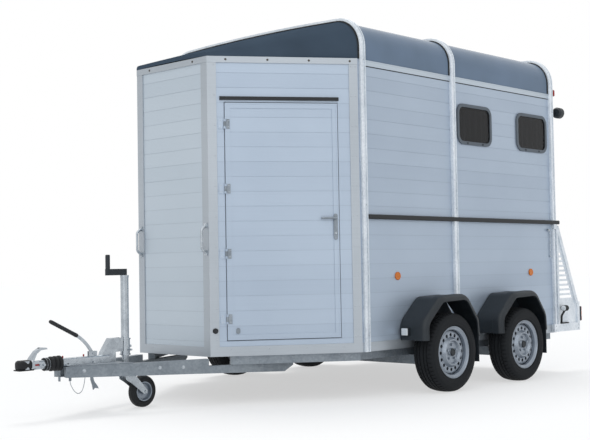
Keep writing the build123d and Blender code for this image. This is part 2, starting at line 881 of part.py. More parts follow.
def breakaway_cable():
    """The thin steel cable that hangs in a loop from its lug to the brake gear above."""
    x, y, z = cable_start
    points = [
        cable_start,
        (x, y, z - 20),
        (x - 36, y - 3, z - 74),
        (x - 74, y - 7, z - 94),
        (x - 116, y - 11, z - 62),
        (cable_end[0], cable_end[1], z - 4),
        cable_end,
    ]
    path = FilletPolyline(*points, radius=22)
    return sweep(Plane(origin=path @ 0, z_dir=path % 0) * Circle(cable_radius), path=path)


def overrun_housing():
    """The cast housing that the drawbar shaft slides in, with the shaft and the jockey tower."""
    x0, x1 = housing_x
    h = housing_half_width
    foot = housing_foot_z
    body = block((x0, x1), (-h, h), (foot, housing_top_z))
    body = fillet([edge for edge in body.edges().filter_by(Axis.X) if edge.center().Z > foot + 9], 17)
    body += block((x0 + 116, x1 - 12), (-h - 16, h + 16), (foot, foot + 9))
    body += block((x1 - 20, x1), (-16, 16), (coupling_z - 30, coupling_z))
    for x in (x0 + 140, x1 - 40):
        for y in (-h - 8, h + 8):
            body += Pos(x, y, foot + 8) * extrude(RegularPolygon(6, 6), 7)
    tower = [(-56, 0), (75, 0), (50, 66), (-14, 158), (-118, 158), (-118, 66), (-56, 62)]
    cheek = profile([(x0 + x, foot + z) for x, z in tower], -24, 24)
    cheek -= block((x0 - 140, x0 + clamp_seat), (-17, 17), (foot + 60, foot + 170))
    shaft = rod((x1 - 5, 0, coupling_z), (bellows_front_x + 60, 0, coupling_z), shaft_radius)
    return body + cheek + shaft


def bellows():
    """A rubber boot over the drawbar shaft: three folds and a clamped collar in front."""
    collar = 41
    x0, x1 = housing_x[1] + clear, bellows_front_x - clear
    folds = 3
    pitch = (x1 - collar - x0) / folds
    bore = shaft_radius + clear
    points = [(x0, bore)]
    for fold in range(folds):
        start = x0 + fold * pitch
        peak = bellows_radius - fold
        points += [(start, peak - 14), (start + pitch * 0.3, peak), (start + pitch * 0.65, peak)]
    points += [
        (x1 - collar, collar_radius - 8),
        (x1 - collar + 9, collar_radius),
        (x1 - 4, collar_radius),
        (x1, collar_radius - 5),
        (x1, bore),
    ]
    turned = revolve(Plane.XZ * make_face(Polyline(*points, close=True)), Axis.X)
    return Pos(0, 0, coupling_z) * turned


def coupling_head():
    """A pressed socket over the ball, with a neck bolted to the drawbar shaft."""
    z = coupling_z
    x = bellows_front_x
    low = z - 26
    body = rod((x, 0, z), (x + 70, 0, z), shaft_radius + 10)
    body += block((x + 52, ball_x), (-head_radius + 5, head_radius - 5), (low + 8, low + head_height - 6))
    body += Pos(ball_x, 0, low) * Cylinder(head_radius, head_height, align=LOW)
    body -= rod((x - 10, 0, z), (x + 60 + clear, 0, z), shaft_radius + clear)
    body -= Pos(ball_x, 0, low + 20) * Sphere(ball_radius)
    body -= Pos(ball_x, 0, low - 1) * Cylinder(ball_radius, 21, align=LOW)
    for bolt_x in (x + 14, x + 44):
        body += rod((bolt_x, -head_radius - 8, z), (bolt_x, -shaft_radius - 5, z), 8)
        body += rod((bolt_x, shaft_radius + 5, z), (bolt_x, head_radius + 8, z), 8)
    return body


def coupling_handle():
    """The bowed lever over the socket, folded from sheet, with a finger slot."""
    z = coupling_z - 26 + head_height
    x = bellows_front_x
    points = [
        (x + 76, z + clear),
        (x + 112, z + clear),
        (x + 104, z + 16),
        (x + 66, z + 58),
        (x + 28, z + 80),
        (x - 18, z + 76),
        (x - 24, z + 66),
        (x + 26, z + 62),
        (x + 56, z + 42),
    ]
    lever = profile(points, -17, 17)
    return lever - block((x - 14, x + 40), (-10, 10), (z + 40, z + 99))


def coupling_cap():
    """The soft cover over the socket's nose."""
    low = coupling_z - 30
    r = head_radius + 10
    length = coupling_tip_x - ball_x + r
    hood = extrude(SlotOverall(length, 2 * r), head_height + 10)
    hood = Pos(ball_x - r + length / 2, 0, low) * fillet(hood.faces().sort_by(Axis.Z)[-1].edges(), 14)
    inner = Pos(ball_x, 0, low - 5) * Cylinder(head_radius + clear, head_height + 9 + clear, align=LOW)
    return hood - inner - block((bellows_front_x, ball_x - 10), (-99, 99), (low - 9, low + 99))


def handbrake():
    """A bowed flat lever on a forked foot, with a moulded grip."""
    x0, z0 = housing_x[0], housing_top_z
    pivot = (x0 + 124, 0, z0 + 16)
    elbow = (x0 + 257, 0, z0 + 146)
    tip = (x0 + 452, 0, z0 + 243)
    bow = ThreePointArc(pivot, (x0 + 169, 0, z0 + 78), elbow)
    section = Plane(origin=bow @ 0, x_dir=(0, 1, 0), z_dir=bow % 0) * Rectangle(9, 21)
    lever = sweep(section, path=bow)
    for y in ((-15, -4), (4, 15)):
        lever += block((pivot[0] - 30, pivot[0] + 30), y, (z0 + clear, z0 + 32))
    lever += rod((pivot[0], -19, pivot[2]), (pivot[0], 19, pivot[2]), 8)
    return lever + rod(elbow, tip, 12) + Pos(*tip) * Sphere(12)


def jockey_clamp():
    """The split sleeve that grips the jockey wheel's outer tube, with its pinch bolt."""
    r = jockey_tube_radius + clear
    z = housing_foot_z + 94
    x = jockey_x
    sleeve = Pos(x, 0, z) * (Cylinder(r + 5, 116) - Cylinder(r, 130))
    for step in (-54, 54):
        sleeve += Pos(x, 0, z + step) * (Cylinder(r + 10, 8) - Cylinder(r, 9))
    sleeve += block((x + r + 2, housing_x[0] + clamp_seat - clear), (-16.7, 16.7), (z - 28, z + 62))
    sleeve += rod((x - r - 26, -6, z), (x - r - 2, -6, z), 9)
    return sleeve + rod((x, r + 2, z - 20), (x, r + 44, z - 20), 7)


def jockey_tube():
    """The outer tube with a rolled foot and a cap."""
    z0, z1 = jockey_tube_z
    tube = Cylinder(jockey_tube_radius, z1 - z0) - Cylinder(jockey_leg_radius + clear, z1 - z0 + 2)
    cap = Pos(jockey_x, 0, z1) * Cylinder(jockey_tube_radius + 2, 18, align=LOW)
    return Pos(jockey_x, 0, (z0 + z1) / 2) * tube + cap


def jockey_crank():
    """A deep moulded arm with an upright grip."""
    z = jockey_tube_z[1] + 18 + clear
    arm = extrude(SlotOverall(crank_radius + 38, 30), 44)
    crank = Pos(jockey_x + crank_radius / 2, 0, z) * arm
    grip = Pos(jockey_x + crank_radius, 0, z + 40) * Cylinder(16, 102, align=LOW)
    return crank + fillet(grip.edges().sort_by(Axis.Z)[-1], 7)


def jockey_leg():
    return Pos(jockey_x, 0, jockey_fork_z) * Cylinder(
        jockey_leg_radius, jockey_tube_z[1] - 260 - jockey_fork_z, align=LOW
    )


def jockey_fork():
    """A swivelling fork that trails behind the leg."""
    z = jockey_fork_z - clear
    x = jockey_x
    hub = (x - jockey_trail, jockey_wheel_radius)
    gap = jockey_wheel_width / 2 + 5
    cheek = [
        (x - 34, z),
        (x + 30, z),
        (x + 22, z - 52),
        (x - 20, z - 78),
        (hub[0] + 14, hub[1] - 15),
        (hub[0] - 14, hub[1] - 13),
        (hub[0] - 18, hub[1] + 8),
        (x - 62, z - 34),
    ]
    fork = Pos(x - 2, 0, z - 8) * Box(64, 2 * gap + 10, 8, align=LOW)
    for y in ((-gap - 5, -gap), (gap, gap + 5)):
        fork += profile(cheek, y[0], y[1])
    return fork + rod((hub[0], -gap - 11, hub[1]), (hub[0], gap + 11, hub[1]), axle_pin_radius)


def turned_ring(points, x, y, z):
    """A closed (y, radius) section turned about an axle along Y."""
    section = make_face(Polyline(*points, close=True))
    ring = revolve(Plane(origin=(0, 0, 0), x_dir=(0, 1, 0), z_dir=(1, 0, 0)) * section, Axis.Y)
    return Pos(x, y, z) * ring


def jockey_tyre():
    r = jockey_wheel_radius
    half = jockey_wheel_width / 2
    right = [(half - 16, r), (half - 4, r - 10), (half, r - 30), (half - 6, r - 42)]
    points = right + [(-y, radius) for y, radius in reversed(right)]
    return turned_ring(points, jockey_x - jockey_trail, 0, r)


def jockey_rim():
    r = jockey_wheel_radius - 42
    half = jockey_wheel_width / 2 - 3
    bore = axle_pin_radius + clear
    right = [(half + 2, bore), (half + 2, 20), (6, 22), (6, r - 16), (half, r - 8), (half, r - clear)]
    points = right + [(-y, radius) for y, radius in reversed(right)]
    return turned_ring(points, jockey_x - jockey_trail, 0, jockey_wheel_radius)


def side_guards():
    """A sloping tube, a rear post and a beam round a slotted plate, behind each rear post."""
    y = guard_y
    half = hoop_width / 2
    slope = bar(guard_kink, guard_knee, y, guard_tube / 2)
    post = block(guard_post_x, y, (guard_beam_z[0], guard_knee[1] + 10))
    beam = block((guard_post_x[0], hoop_x[2] + 60), y, guard_beam_z)
    head = block((hoop_x[2] - half, hoop_x[2] + half), y, (guard_kink[1] - 24, rail_z[0] - clear))
    upright = block((guard_kink[0] - 8, guard_kink[0] + 20), y, (guard_beam_z[1] - 5, guard_kink[1]))
    plate_points = [
        (guard_kink[0], guard_kink[1] - 20),
        (guard_knee[0] - 10, guard_knee[1]),
        (guard_knee[0] - 10, guard_beam_z[1] - 5),
        (guard_kink[0], guard_beam_z[1] - 5),
    ]
    plate = profile(plate_points, y[0] + 12, y[0] + 16)
    pitch = 42
    slant = guard_run / (guard_kink[1] - guard_knee[1])
    start = guard_kink[0] - 20
    for index in range(10):
        z = guard_knee[1] + 62 + index * pitch
        end = guard_kink[0] - (guard_kink[1] - z) * slant + guard_tube / 2 + 26
        if start - end > 26:
            slot = Pos((start + end) / 2, z) * SlotOverall(start - end, 24)
            plate -= side_plane(y[1]) * extrude(slot, 40)
    return both_sides(slope + post + beam + head + upright + plate)


def ramp():
    """The insulated ramp with hoof battens, its hinge leaves and barrels."""
    x = (ramp_axis_x - ramp_t / 2, ramp_axis_x + ramp_t / 2)
    foot = ramp_hinge_z + 26
    board = block(x, (-ramp_half_width, ramp_half_width), (foot, ramp_top_z))
    reach = ramp_half_width - 60
    pitch = 190
    for index in range(int((ramp_top_z - foot - 150) / pitch) + 1):
        z = foot + 90 + index * pitch
        board += block((x[1] - 1, x[1] + 10), (-reach, reach), (z - 13, z + 13))
    for y in ramp_hinge_y:
        board += rod((ramp_axis_x, y - 45, ramp_hinge_z), (ramp_axis_x, y + 45, ramp_hinge_z), 14)
        board += block((ramp_axis_x - 8, ramp_axis_x + 8), (y - 45, y + 45), (ramp_hinge_z + 5, foot + 1))
        board -= cross_pin(ramp_axis_x, y, ramp_hinge_z, ramp_pin_radius + clear, 75)
    return board


def rear_flap():
    """The panel over the ramp, hinged at its top."""
    x = (flap_axis_x - flap_t / 2, flap_axis_x + flap_t / 2)
    panel = block(x, (-ramp_half_width, ramp_half_width), (ramp_top_z + flap_gap, flap_top_z))
    for y in flap_hinge_y:
        panel += rod((flap_axis_x, y - 60, flap_hinge_z), (flap_axis_x, y + 60, flap_hinge_z), 9)
        panel += block((flap_axis_x - 5, flap_axis_x + 5), (y - 60, y + 60), (flap_top_z - 1, flap_hinge_z))
        panel -= cross_pin(flap_axis_x, y, flap_hinge_z, flap_pin_radius + clear, 90)
    return panel


def rear_lights():
    z = (guard_beam_z[1] + 13, guard_beam_z[1] + 143)
    return both_sides(block((rear_end_x, guard_post_x[0] - clear), light_y, z))


def outline_lamps():
    """A lamp on a bent rubber arm, on the beam of each guard."""
    x = guard_kink[0] - 52
    foot_z, lamp_z = guard_beam_z[1] + clear, guard_beam_z[1] + 138
    y = guard_y[0] + 26
    pad = block((x - 92, x + 40), (guard_y[0] + 18, guard_y[1] + 6), (foot_z, foot_z + 10))
    path = FilletPolyline(
        (x + 22, y, foot_z + 8), (x + 32, y + 10, lamp_z - 66), (x, y + 26, lamp_z - 14), radius=24
    )
    arm = sweep(Plane(origin=path @ 0, z_dir=path % 0) * Circle(9), path=path)
    lamp = rod((x - 24, y + 26, lamp_z), (x + 24, y + 26, lamp_z), 26)
    return both_sides(pad + arm + lamp)


def latch_rods():
    """The ramp's catch on each side wall: a knob, with a thin pull rod that hangs from it."""
    x = rear_x + 68
    y = body_half_width + clear
    z = rail_z[0] - 52
    knob = rod((x, y, z), (x, y + 22, z), 11)
    arm = block((x - 42, x), (y + 5, y + 13), (z - 6, z + 2))
    pull = rod((x - 38, y + 9, z - 2), (x - 38, y + 9, z - 226), 3.5)
    return both_sides(knob + arm + pull + Pos(x - 38, y + 9, z - 230) * Sphere(8))


def reflectors():
    solids = []
    for x in (axle_x[0] + 390, axle_x[1] - 462):
        disc = rod((x, body_half_width + clear, 880), (x, body_half_width + 9.7, 880), 30.5)
        solids.append(chamfer(disc.edges().group_by(Axis.Y)[-1], 3))
    return both_sides(*solids)


def marker_lamps():
    """Red clearance lamps high at the rear and white position lamps on the front mudguards."""
    x = hoop_x[2] - hoop_width / 2
    z = wall_top_z - 15
    red = block((x - 42, x - clear), (body_half_width - 30, body_half_width + 24), (z, z + 60))
    guard_front = axle_x[0] + wheel_radius + 85 - 7
    y = (body_half_width + 19, body_half_width + 95)
    white = block((guard_front + clear, guard_front + 33), y, (wheel_radius + 142, wheel_radius + 198))
    return both_sides(red, white)


def work_lamp():
    """A round lamp on an arm from the left rear post."""
    x = hoop_x[2] - hoop_width / 2
    y = body_half_width + 17
    z = wall_top_z - 158
    arm = block((x - 90, x - clear), (y - 24, y - 10), (z - 7, z + 7))
    lamp = rod((x - 60, y, z), (x - 124, y, z), 48)
    return arm + chamfer(lamp.edges().group_by(Axis.X)[-1], 14)


def partition_frame():
    """The swinging gate's place: x along it from the hinge, y up, z to its rear side."""
    turn = radians(partition_angle)
    return Plane(
        origin=(partition_x, partition_y, 0),
        x_dir=(-cos(turn), -sin(turn), 0),
        z_dir=(-sin(turn), cos(turn), 0),
    )


def partition():
    """A tube frame with a board in its lower half and head bars near the hinge."""
    plane = partition_frame()
    t = partition_tube
    z0, z1 = partition_z
    mid = partition_board_z[1] + t
    head = partition_head
    ends = partition_length
    gate = block((-t, t), (z0, z1), (-t, t))
    gate += block((ends - 2 * t, ends), (z0, mid + t), (-t, t))
    gate += block((-t, ends), (z0, z0 + 2 * t), (-t, t))
    gate += block((-t, ends), (mid - t, mid + t), (-t, t))
    gate += block((-t, head), (z1 - 2 * t, z1), (-t, t))
    gate += block((head - 2 * t, head), (mid - t, z1), (-t, t))
    gate += block((0, ends - t), partition_board_z, (-12, 12))
    for index in range(1, 7):
        s = index * (head - t) / 7
        gate += block((s - 6, s + 6), (mid - t, z1 - t), (-6, 6))
    bore = Cylinder(partition_pin_radius + clear, 2 * (z1 - z0))
    return plane * (gate - Pos(0, (z0 + z1) / 2, 0) * (Rot(90, 0, 0) * bore))


def partition_brackets():
    """Two wall brackets whose pins carry the swinging gate."""
    wall = body_half_width - wall_t - clear
    solids = []
    for z, step in ((partition_z[0] - 8, 1), (partition_z[1] + 8, -1)):
        arm = block((partition_x - 25, partition_x + 25), (partition_y - 25, wall), (z - 6, z + 6))
        tip = (partition_x, partition_y, z + step * 70)
        pin = rod((partition_x, partition_y, z), tip, partition_pin_radius)
        solids.append(arm + pin)
    return group(*solids)


NODES = {
    "floor": floor,
    "front_wall": front_wall,
    "left_front_wall": left_front_wall,
    "right_front_wall": right_front_wall,
    "left_side_wall": left_side_wall,
    "right_side_wall": right_side_wall,
    "window_frames": window_frames,
    "window_panes": window_panes,
    "window_bars": window_bars,
    "bulkhead": bulkhead,
    "hoops": hoops,
    "rear_roof": rear_roof,
    "front_roof": front_roof,
    "rear_frame": rear_frame,
    "corner_posts": corner_posts,
    "edge_trim": edge_trim,
    "rub_rails": rub_rails,
    "tack_door_leaf": tack_door_leaf,
    "tack_door_frame": tack_door_frame,
    "tack_door_fittings": tack_door_fittings,
    "door_gutter": door_gutter,
    "door_holder": door_holder,
    "grab_handles": grab_handles,
    "mudguards": mudguards,
    "axles": axles,
    "chassis_frame": chassis_frame,
    "drawbar": drawbar,
    "breakaway_cable": breakaway_cable,
    "overrun_housing": overrun_housing,
    "bellows": bellows,
    "coupling_head": coupling_head,
    "coupling_handle": coupling_handle,
    "coupling_cap": coupling_cap,
    "handbrake": handbrake,
    "jockey_clamp": jockey_clamp,
    "jockey_tube": jockey_tube,
    "jockey_crank": jockey_crank,
    "jockey_leg": jockey_leg,
    "jockey_fork": jockey_fork,
    "jockey_tyre": jockey_tyre,
    "jockey_rim": jockey_rim,
    "side_guards": side_guards,
    "ramp": ramp,
    "rear_flap": rear_flap,
    "rear_lights": rear_lights,
    "outline_lamps": outline_lamps,
    "latch_rods": latch_rods,
    "reflectors": reflectors,
    "marker_lamps": marker_lamps,
    "work_lamp": work_lamp,
    "partition": partition,
    "partition_brackets": partition_brackets,
}

WHEELS = {
    "front_left": (axle_x[0], 1),
    "front_right": (axle_x[0], -1),
    "rear_left": (axle_x[1], 1),
    "rear_right": (axle_x[1], -1),
}


def wheel_nodes():
    made = {}
    for name, (x, side) in WHEELS.items():
        made[f"tyre_{name}"] = tyre_at(x, side * wheel_y)
        made[f"rim_{name}"] = rim_at(x, side * wheel_y, side)
    return made


os.makedirs("parts", exist_ok=True)
shapes = {name: make() for name, make in NODES.items()}
shapes.update(wheel_nodes())
for name, shape in shapes.items():
    export_step(shape, f"parts/{name}.step")
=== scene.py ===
import math

import bmesh
import bpy
from mathutils import Matrix, Vector


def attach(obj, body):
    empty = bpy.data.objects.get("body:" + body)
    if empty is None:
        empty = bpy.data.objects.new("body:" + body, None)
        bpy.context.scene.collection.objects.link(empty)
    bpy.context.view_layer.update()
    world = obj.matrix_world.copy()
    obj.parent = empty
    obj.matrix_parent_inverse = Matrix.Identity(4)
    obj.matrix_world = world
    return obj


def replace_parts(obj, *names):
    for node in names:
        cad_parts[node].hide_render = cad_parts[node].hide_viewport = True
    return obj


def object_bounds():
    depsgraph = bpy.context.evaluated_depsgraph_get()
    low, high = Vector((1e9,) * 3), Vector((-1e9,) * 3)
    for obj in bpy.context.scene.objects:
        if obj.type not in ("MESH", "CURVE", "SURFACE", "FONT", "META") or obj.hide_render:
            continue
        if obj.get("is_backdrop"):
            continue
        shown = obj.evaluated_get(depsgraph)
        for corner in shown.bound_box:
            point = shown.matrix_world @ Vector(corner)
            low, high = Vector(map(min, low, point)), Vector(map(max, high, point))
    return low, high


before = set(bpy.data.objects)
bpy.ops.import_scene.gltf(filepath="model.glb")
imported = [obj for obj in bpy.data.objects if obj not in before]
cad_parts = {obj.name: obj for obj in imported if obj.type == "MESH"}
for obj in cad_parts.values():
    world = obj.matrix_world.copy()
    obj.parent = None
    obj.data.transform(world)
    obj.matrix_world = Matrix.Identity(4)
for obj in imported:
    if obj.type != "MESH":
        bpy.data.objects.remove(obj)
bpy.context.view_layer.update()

# View and light
# A product picture taken from ahead of the trailer's left side at about waist height, with a
# long lens, on white paper. A broad soft sky lights the sides, one soft sun from high behind
# the trailer throws its shadow forwards, and a wider one fills in from the camera's side.
camera_data = bpy.data.cameras.new("picture_camera")
camera_data.sensor_width = 36.0
camera_data.lens = 68.8
camera_data.clip_end = 200.0
camera = bpy.data.objects.new("picture_camera", camera_data)
bpy.context.collection.objects.link(camera)
yaw, pitch, roll = math.radians(-136.46), math.radians(2.353), math.radians(-0.967)
ahead = Vector((math.cos(pitch) * math.cos(yaw), math.cos(pitch) * math.sin(yaw), math.sin(pitch)))
level = ahead.cross(Vector((0, 0, 1))).normalized()
upright = level.cross(ahead)
across = level * math.cos(roll) + upright * math.sin(roll)
upward = upright * math.cos(roll) - level * math.sin(roll)
CAMERA_AT = (6.6025, 6.257, 0.964)
turned_to = Matrix((across, upward, -ahead)).transposed().to_4x4()
camera.matrix_world = Matrix.Translation(CAMERA_AT) @ turned_to
bpy.context.scene.camera = camera
bpy.context.scene.view_settings.view_transform = "Standard"


def add(tree, kind, inputs=None, **settings):
    """Adds one shader node; its inputs are values, or the sockets that feed them."""
    made = tree.nodes.new(kind)
    for key, value in settings.items():
        setattr(made, key, value)
    for key, value in (inputs or {}).items():
        socket = made.inputs[key]
        if isinstance(value, bpy.types.NodeSocket):
            tree.links.new(value, socket)
        else:
            socket.default_value = value
    return made


def shown_rays(tree):
    """1 for the rays that show the background: the camera's, and those in metal and glass."""
    rays = add(tree, "ShaderNodeLightPath").outputs
    seen = {0: rays["Is Camera Ray"], 1: rays["Is Glossy Ray"]}
    seen = add(tree, "ShaderNodeMath", seen, operation="MAXIMUM")
    both = {0: seen.outputs[0], 1: rays["Is Transmission Ray"]}
    return add(tree, "ShaderNodeMath", both, operation="MAXIMUM").outputs[0]


world = bpy.data.worlds.new("white_studio")
bpy.context.scene.world = world
world.use_nodes = True
sky = world.node_tree
sky.nodes.clear()
dome = add(sky, "ShaderNodeBackground", {"Color": (0.90, 0.95, 1.0, 1), "Strength": 0.50})
paper = add(sky, "ShaderNodeBackground", {"Color": (1, 1, 1, 1), "Strength": 1.0})
backdrop = add(sky, "ShaderNodeMixShader", {0: shown_rays(sky), 1: dome.outputs[0], 2: paper.outputs[0]})
add(sky, "ShaderNodeOutputWorld", {"Surface": backdrop.outputs[0]})


def sun(name, source, spread, strength, tint):
    """A soft distant lamp: the direction that it shines from, and how wide it looks."""
    data = bpy.data.lights.new(name, "SUN")
    data.angle = math.radians(spread)
    data.energy = strength
    data.color = tint
    made = bpy.data.objects.new(name, data)
    made.rotation_euler = Vector(source).to_track_quat("Z", "Y").to_euler()
    bpy.context.collection.objects.link(made)


sun("high_sun", (-0.22, -0.30, 1.0), 28, 1.35, (1.0, 0.985, 0.96))
sun("front_fill", (0.80, 0.62, 0.75), 75, 0.95, (0.97, 0.985, 1.0))

# The studio's paper is white card: matt, with the trailer's shadow thinned by its own glow. It
# lies half a millimetre under the tyres.
FLOOR_HALF = 60.0
FLOOR_DROP = 0.0005
PAPER_GLOW = 0.57
floor_mesh = bpy.data.meshes.new("studio_floor")
corners = [(x * FLOOR_HALF, y * FLOOR_HALF, 0) for x, y in ((-1, -1), (1, -1), (1, 1), (-1, 1))]
floor_mesh.from_pydata(corners, [], [(0, 1, 2, 3)])
studio_floor = bpy.data.objects.new("studio_floor", floor_mesh)
studio_floor.location.z = -FLOOR_DROP
bpy.context.collection.objects.link(studio_floor)
studio_floor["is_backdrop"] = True
paper_card = bpy.data.materials.new("paper_card")
paper_card.use_nodes = True
tree = paper_card.node_tree
tree.nodes.clear()
matt = add(tree, "ShaderNodeBsdfDiffuse", {"Color": (0.96, 0.96, 0.96, 1)})
glow = add(tree, "ShaderNodeEmission", {"Color": (1, 1, 1, 1), "Strength": 1.0})
share = add(tree, "ShaderNodeMath", {0: shown_rays(tree), 1: PAPER_GLOW}, operation="MULTIPLY")
card = add(tree, "ShaderNodeMixShader", {0: share.outputs[0], 1: matt.outputs[0], 2: glow.outputs[0]})
add(tree, "ShaderNodeOutputMaterial", {"Surface": card.outputs[0]})
floor_mesh.materials.append(paper_card)

# Plank walls and door
# Hollow aluminium planks, pushed together edge to edge between the posts. They are drawn
# through a die and anodised, so they keep fine level lines and a soft, cold sheen.
PLANK = 0.105
WALL_FOOT = 0.343
JOINT_DIRT = "707A86"


def linear(code):
    """An sRGB hex colour as linear numbers."""
    values = []
    for start in (0, 2, 4):
        s = int(code[start : start + 2], 16) / 255
        values.append(s / 12.92 if s <= 0.04045 else ((s + 0.055) / 1.055) ** 2.4)
    return (*values, 1.0)


def finish_named(name, **values):
    """A new material with its tree, main shader and object places; values go on the shader."""
    material = bpy.data.materials.new(name)
    material.use_nodes = True
    tree = material.node_tree
    shader = tree.nodes["Principled BSDF"]
    for key, value in values.items():
        shader.inputs[key.replace("_", " ")].default_value = value
    place = add(tree, "ShaderNodeTexCoord").outputs["Object"]
    return material, tree, shader, place


def two_tone(tree, shader, factor, codes):
    """Lets a factor run the base colour from one hex code to the other."""
    inputs = {0: factor, 6: linear(codes[0]), 7: linear(codes[1])}
    mixed = add(tree, "ShaderNodeMix", inputs, data_type="RGBA")
    tree.links.new(mixed.outputs[2], shader.inputs["Base Color"])


def roughen(tree, shader, factor, low, high):
    """Lets a factor run the roughness between two values."""
    spread = add(tree, "ShaderNodeMapRange", {"Value": factor, "To Min": low, "To Max": high})
    tree.links.new(spread.outputs[0], shader.inputs["Roughness"])


def emboss(tree, shader, height, strength, depth):
    """Raises the surface by a height pattern, depth metres deep."""
    raised = add(tree, "ShaderNodeBump", {"Strength": strength, "Distance": depth, "Height": height})
    tree.links.new(raised.outputs[0], shader.inputs["Normal"])


def dress(material, *nodes):
    """Gives CAD nodes a finish."""
    for name in nodes:
        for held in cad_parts[name].material_slots:
            held.material = material


def anodised(name, codes, rough=0.42, metal=0.5, joints=True):
    """Anodised aluminium: the oxide dulls the metal, each plank takes the dye a little
    differently, and dirt gathers in the joints between planks. The die's lines, 0.2 mm apart,
    are drawn 2 mm apart so that they show."""
    material, tree, shader, place = finish_named(name, Metallic=metal)
    stretched = add(tree, "ShaderNodeMapping", {"Vector": place, "Scale": (0.8, 0.8, 500.0)})
    lines = add(tree, "ShaderNodeTexNoise", {"Vector": stretched.outputs[0], "Scale": 1.0, "Detail": 2.0})
    height = add(tree, "ShaderNodeSeparateXYZ", {0: place}).outputs["Z"]
    row = add(tree, "ShaderNodeMath", {0: height, 1: WALL_FOOT}, operation="SUBTRACT")
    row = add(tree, "ShaderNodeMath", {0: row.outputs[0], 1: PLANK}, operation="DIVIDE")
    joint = add(tree, "ShaderNodeMath", {0: row.outputs[0], 1: 0.5}, operation="PINGPONG")
    row = add(tree, "ShaderNodeMath", {0: row.outputs[0]}, operation="FLOOR")
    plank = add(tree, "ShaderNodeTexWhiteNoise", {"W": row.outputs[0]}, noise_dimensions="1D")
    cloud = add(tree, "ShaderNodeTexNoise", {"Vector": place, "Scale": 1.3, "Detail": 3.0})
    shade = {0: plank.outputs["Value"], 1: 0.28 if joints else 0.0, 2: cloud.outputs[0]}
    shade = add(tree, "ShaderNodeMath", shade, operation="MULTIPLY_ADD")
    shade = {0: lines.outputs[0], 1: 0.5, 2: shade.outputs[0]}
    shade = add(tree, "ShaderNodeMath", shade, operation="MULTIPLY_ADD")
    spread = {"Value": shade.outputs[0], "From Min": 0.45, "From Max": 1.4}
    two_tone(tree, shader, add(tree, "ShaderNodeMapRange", spread).outputs[0], codes)
    if joints:
        clean = {"Value": joint.outputs[0], "From Min": 0.006, "From Max": 0.026, "To Min": 0.80}
        clean = add(tree, "ShaderNodeMapRange", clean).outputs[0]
        bare = shader.inputs["Base Color"].links[0].from_socket
        dirty = {0: clean, 6: linear(JOINT_DIRT), 7: bare}
        dirty = add(tree, "ShaderNodeMix", dirty, data_type="RGBA")
        tree.links.new(dirty.outputs[2], shader.inputs["Base Color"])
    roughen(tree, shader, lines.outputs[0], rough - 0.07, rough + 0.07)
    emboss(tree, shader, lines.outputs[0], 0.10, 0.0003)
    return material


side_planks = anodised("anodised_planks", ("A3B0C0", "B2BFCE"))
# The front wall wears a lighter copy of the same plank finish: painted light, since light falls more fully
# on the front.
front_planks_painted_light = anodised("anodised_front_planks_painted_light", ("B4BFC9", "C0CAD3"))
dress(
    side_planks,
    "left_front_wall",
    "right_front_wall",
    "left_side_wall",
    "right_side_wall",
    "tack_door_leaf",
    "rear_flap",
    "ramp",
    "tack_door_frame",
)
dress(front_planks_painted_light, "front_wall")

# Posts and edge strips
# Folded and drawn aluminium, left brighter than the planks. Blind rivets hold the strips at
# both edges; each one is a low dome, 11 mm across, with a dimple where its pin broke off.
NOSE_X = 1.299
NOSE_Y = 0.387
SHOULDER_X = 0.424
BODY_Y = 1.027
WALL_TOP = 2.455
WALL_RUN = math.hypot(NOSE_X - SHOULDER_X, BODY_Y - NOSE_Y)
STRIP = 0.006
bright_alloy = anodised("bright_alloy", ("A1A8AF", "BAC1C8"), 0.34, 0.6, joints=False)
dress(bright_alloy, "corner_posts", "edge_trim", "rear_frame")


def on_nose(run, height, out=0.0, side=1):
    """A point on the angled wall: distance back from the front corner, height and proudness."""
    along = Vector((SHOULDER_X - NOSE_X, BODY_Y - NOSE_Y, 0)) / WALL_RUN
    outward = Vector((along.y, -along.x, 0))
    point = Vector((NOSE_X, NOSE_Y, height)) + along * run + outward * out
    return Vector((point.x, side * point.y, point.z))


def nose_outward(side=1):
    """The way that an angled wall faces."""
    return on_nose(0, 0, 1.0, side) - on_nose(0, 0, 0.0, side)


def turn(bm, profile, centre, axis, steps=20):
    """Turns a profile of (along, radius) pairs about an axis through centre."""
    axis = Vector(axis).normalized()
    first = axis.orthogonal().normalized()
    second = axis.cross(first)
    rings = []
    for along, radius in profile:
        middle = Vector(centre) + axis * along
        if radius == 0:
            rings.append([bm.verts.new(middle)] * steps)
            continue
        angles = [2 * math.pi * step / steps for step in range(steps)]
        spokes = [first * math.cos(a) + second * math.sin(a) for a in angles]
        rings.append([bm.verts.new(middle + spoke * radius) for spoke in spokes])
    for lower, upper in zip(rings, rings[1:]):
        for step in range(steps):
            after = (step + 1) % steps
            corners = list(dict.fromkeys([lower[step], lower[after], upper[after], upper[step]]))
            if len(corners) > 2:
                bm.faces.new(corners)


def piece(name, bm, material, body, crease=35):
    """Makes a built mesh into a piece that rides on a body and takes a slot's finish."""
    bmesh.ops.recalc_face_normals(bm, faces=bm.faces)
    mesh = bpy.data.meshes.new(name)
    bm.to_mesh(mesh)
    bm.free()
    mesh.shade_smooth()
    mesh.set_sharp_from_angle(angle=math.radians(crease))
    mesh.materials.append(material)
    made = bpy.data.objects.new(name, mesh)
    bpy.context.collection.objects.link(made)
    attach(made, body)
    return made


RIVET = [(-0.0008, 0.0), (-0.0008, 0.0055), (0.0004, 0.0054), (0.0018, 0.0038), (0.0022, 0.0018)]
RIVET += [(0.0012, 0.0)]


def rivets(bm, places, outward):
    """Blind rivets with their heads facing outward."""
    for place in places:
        turn(bm, RIVET, place, outward, 12)


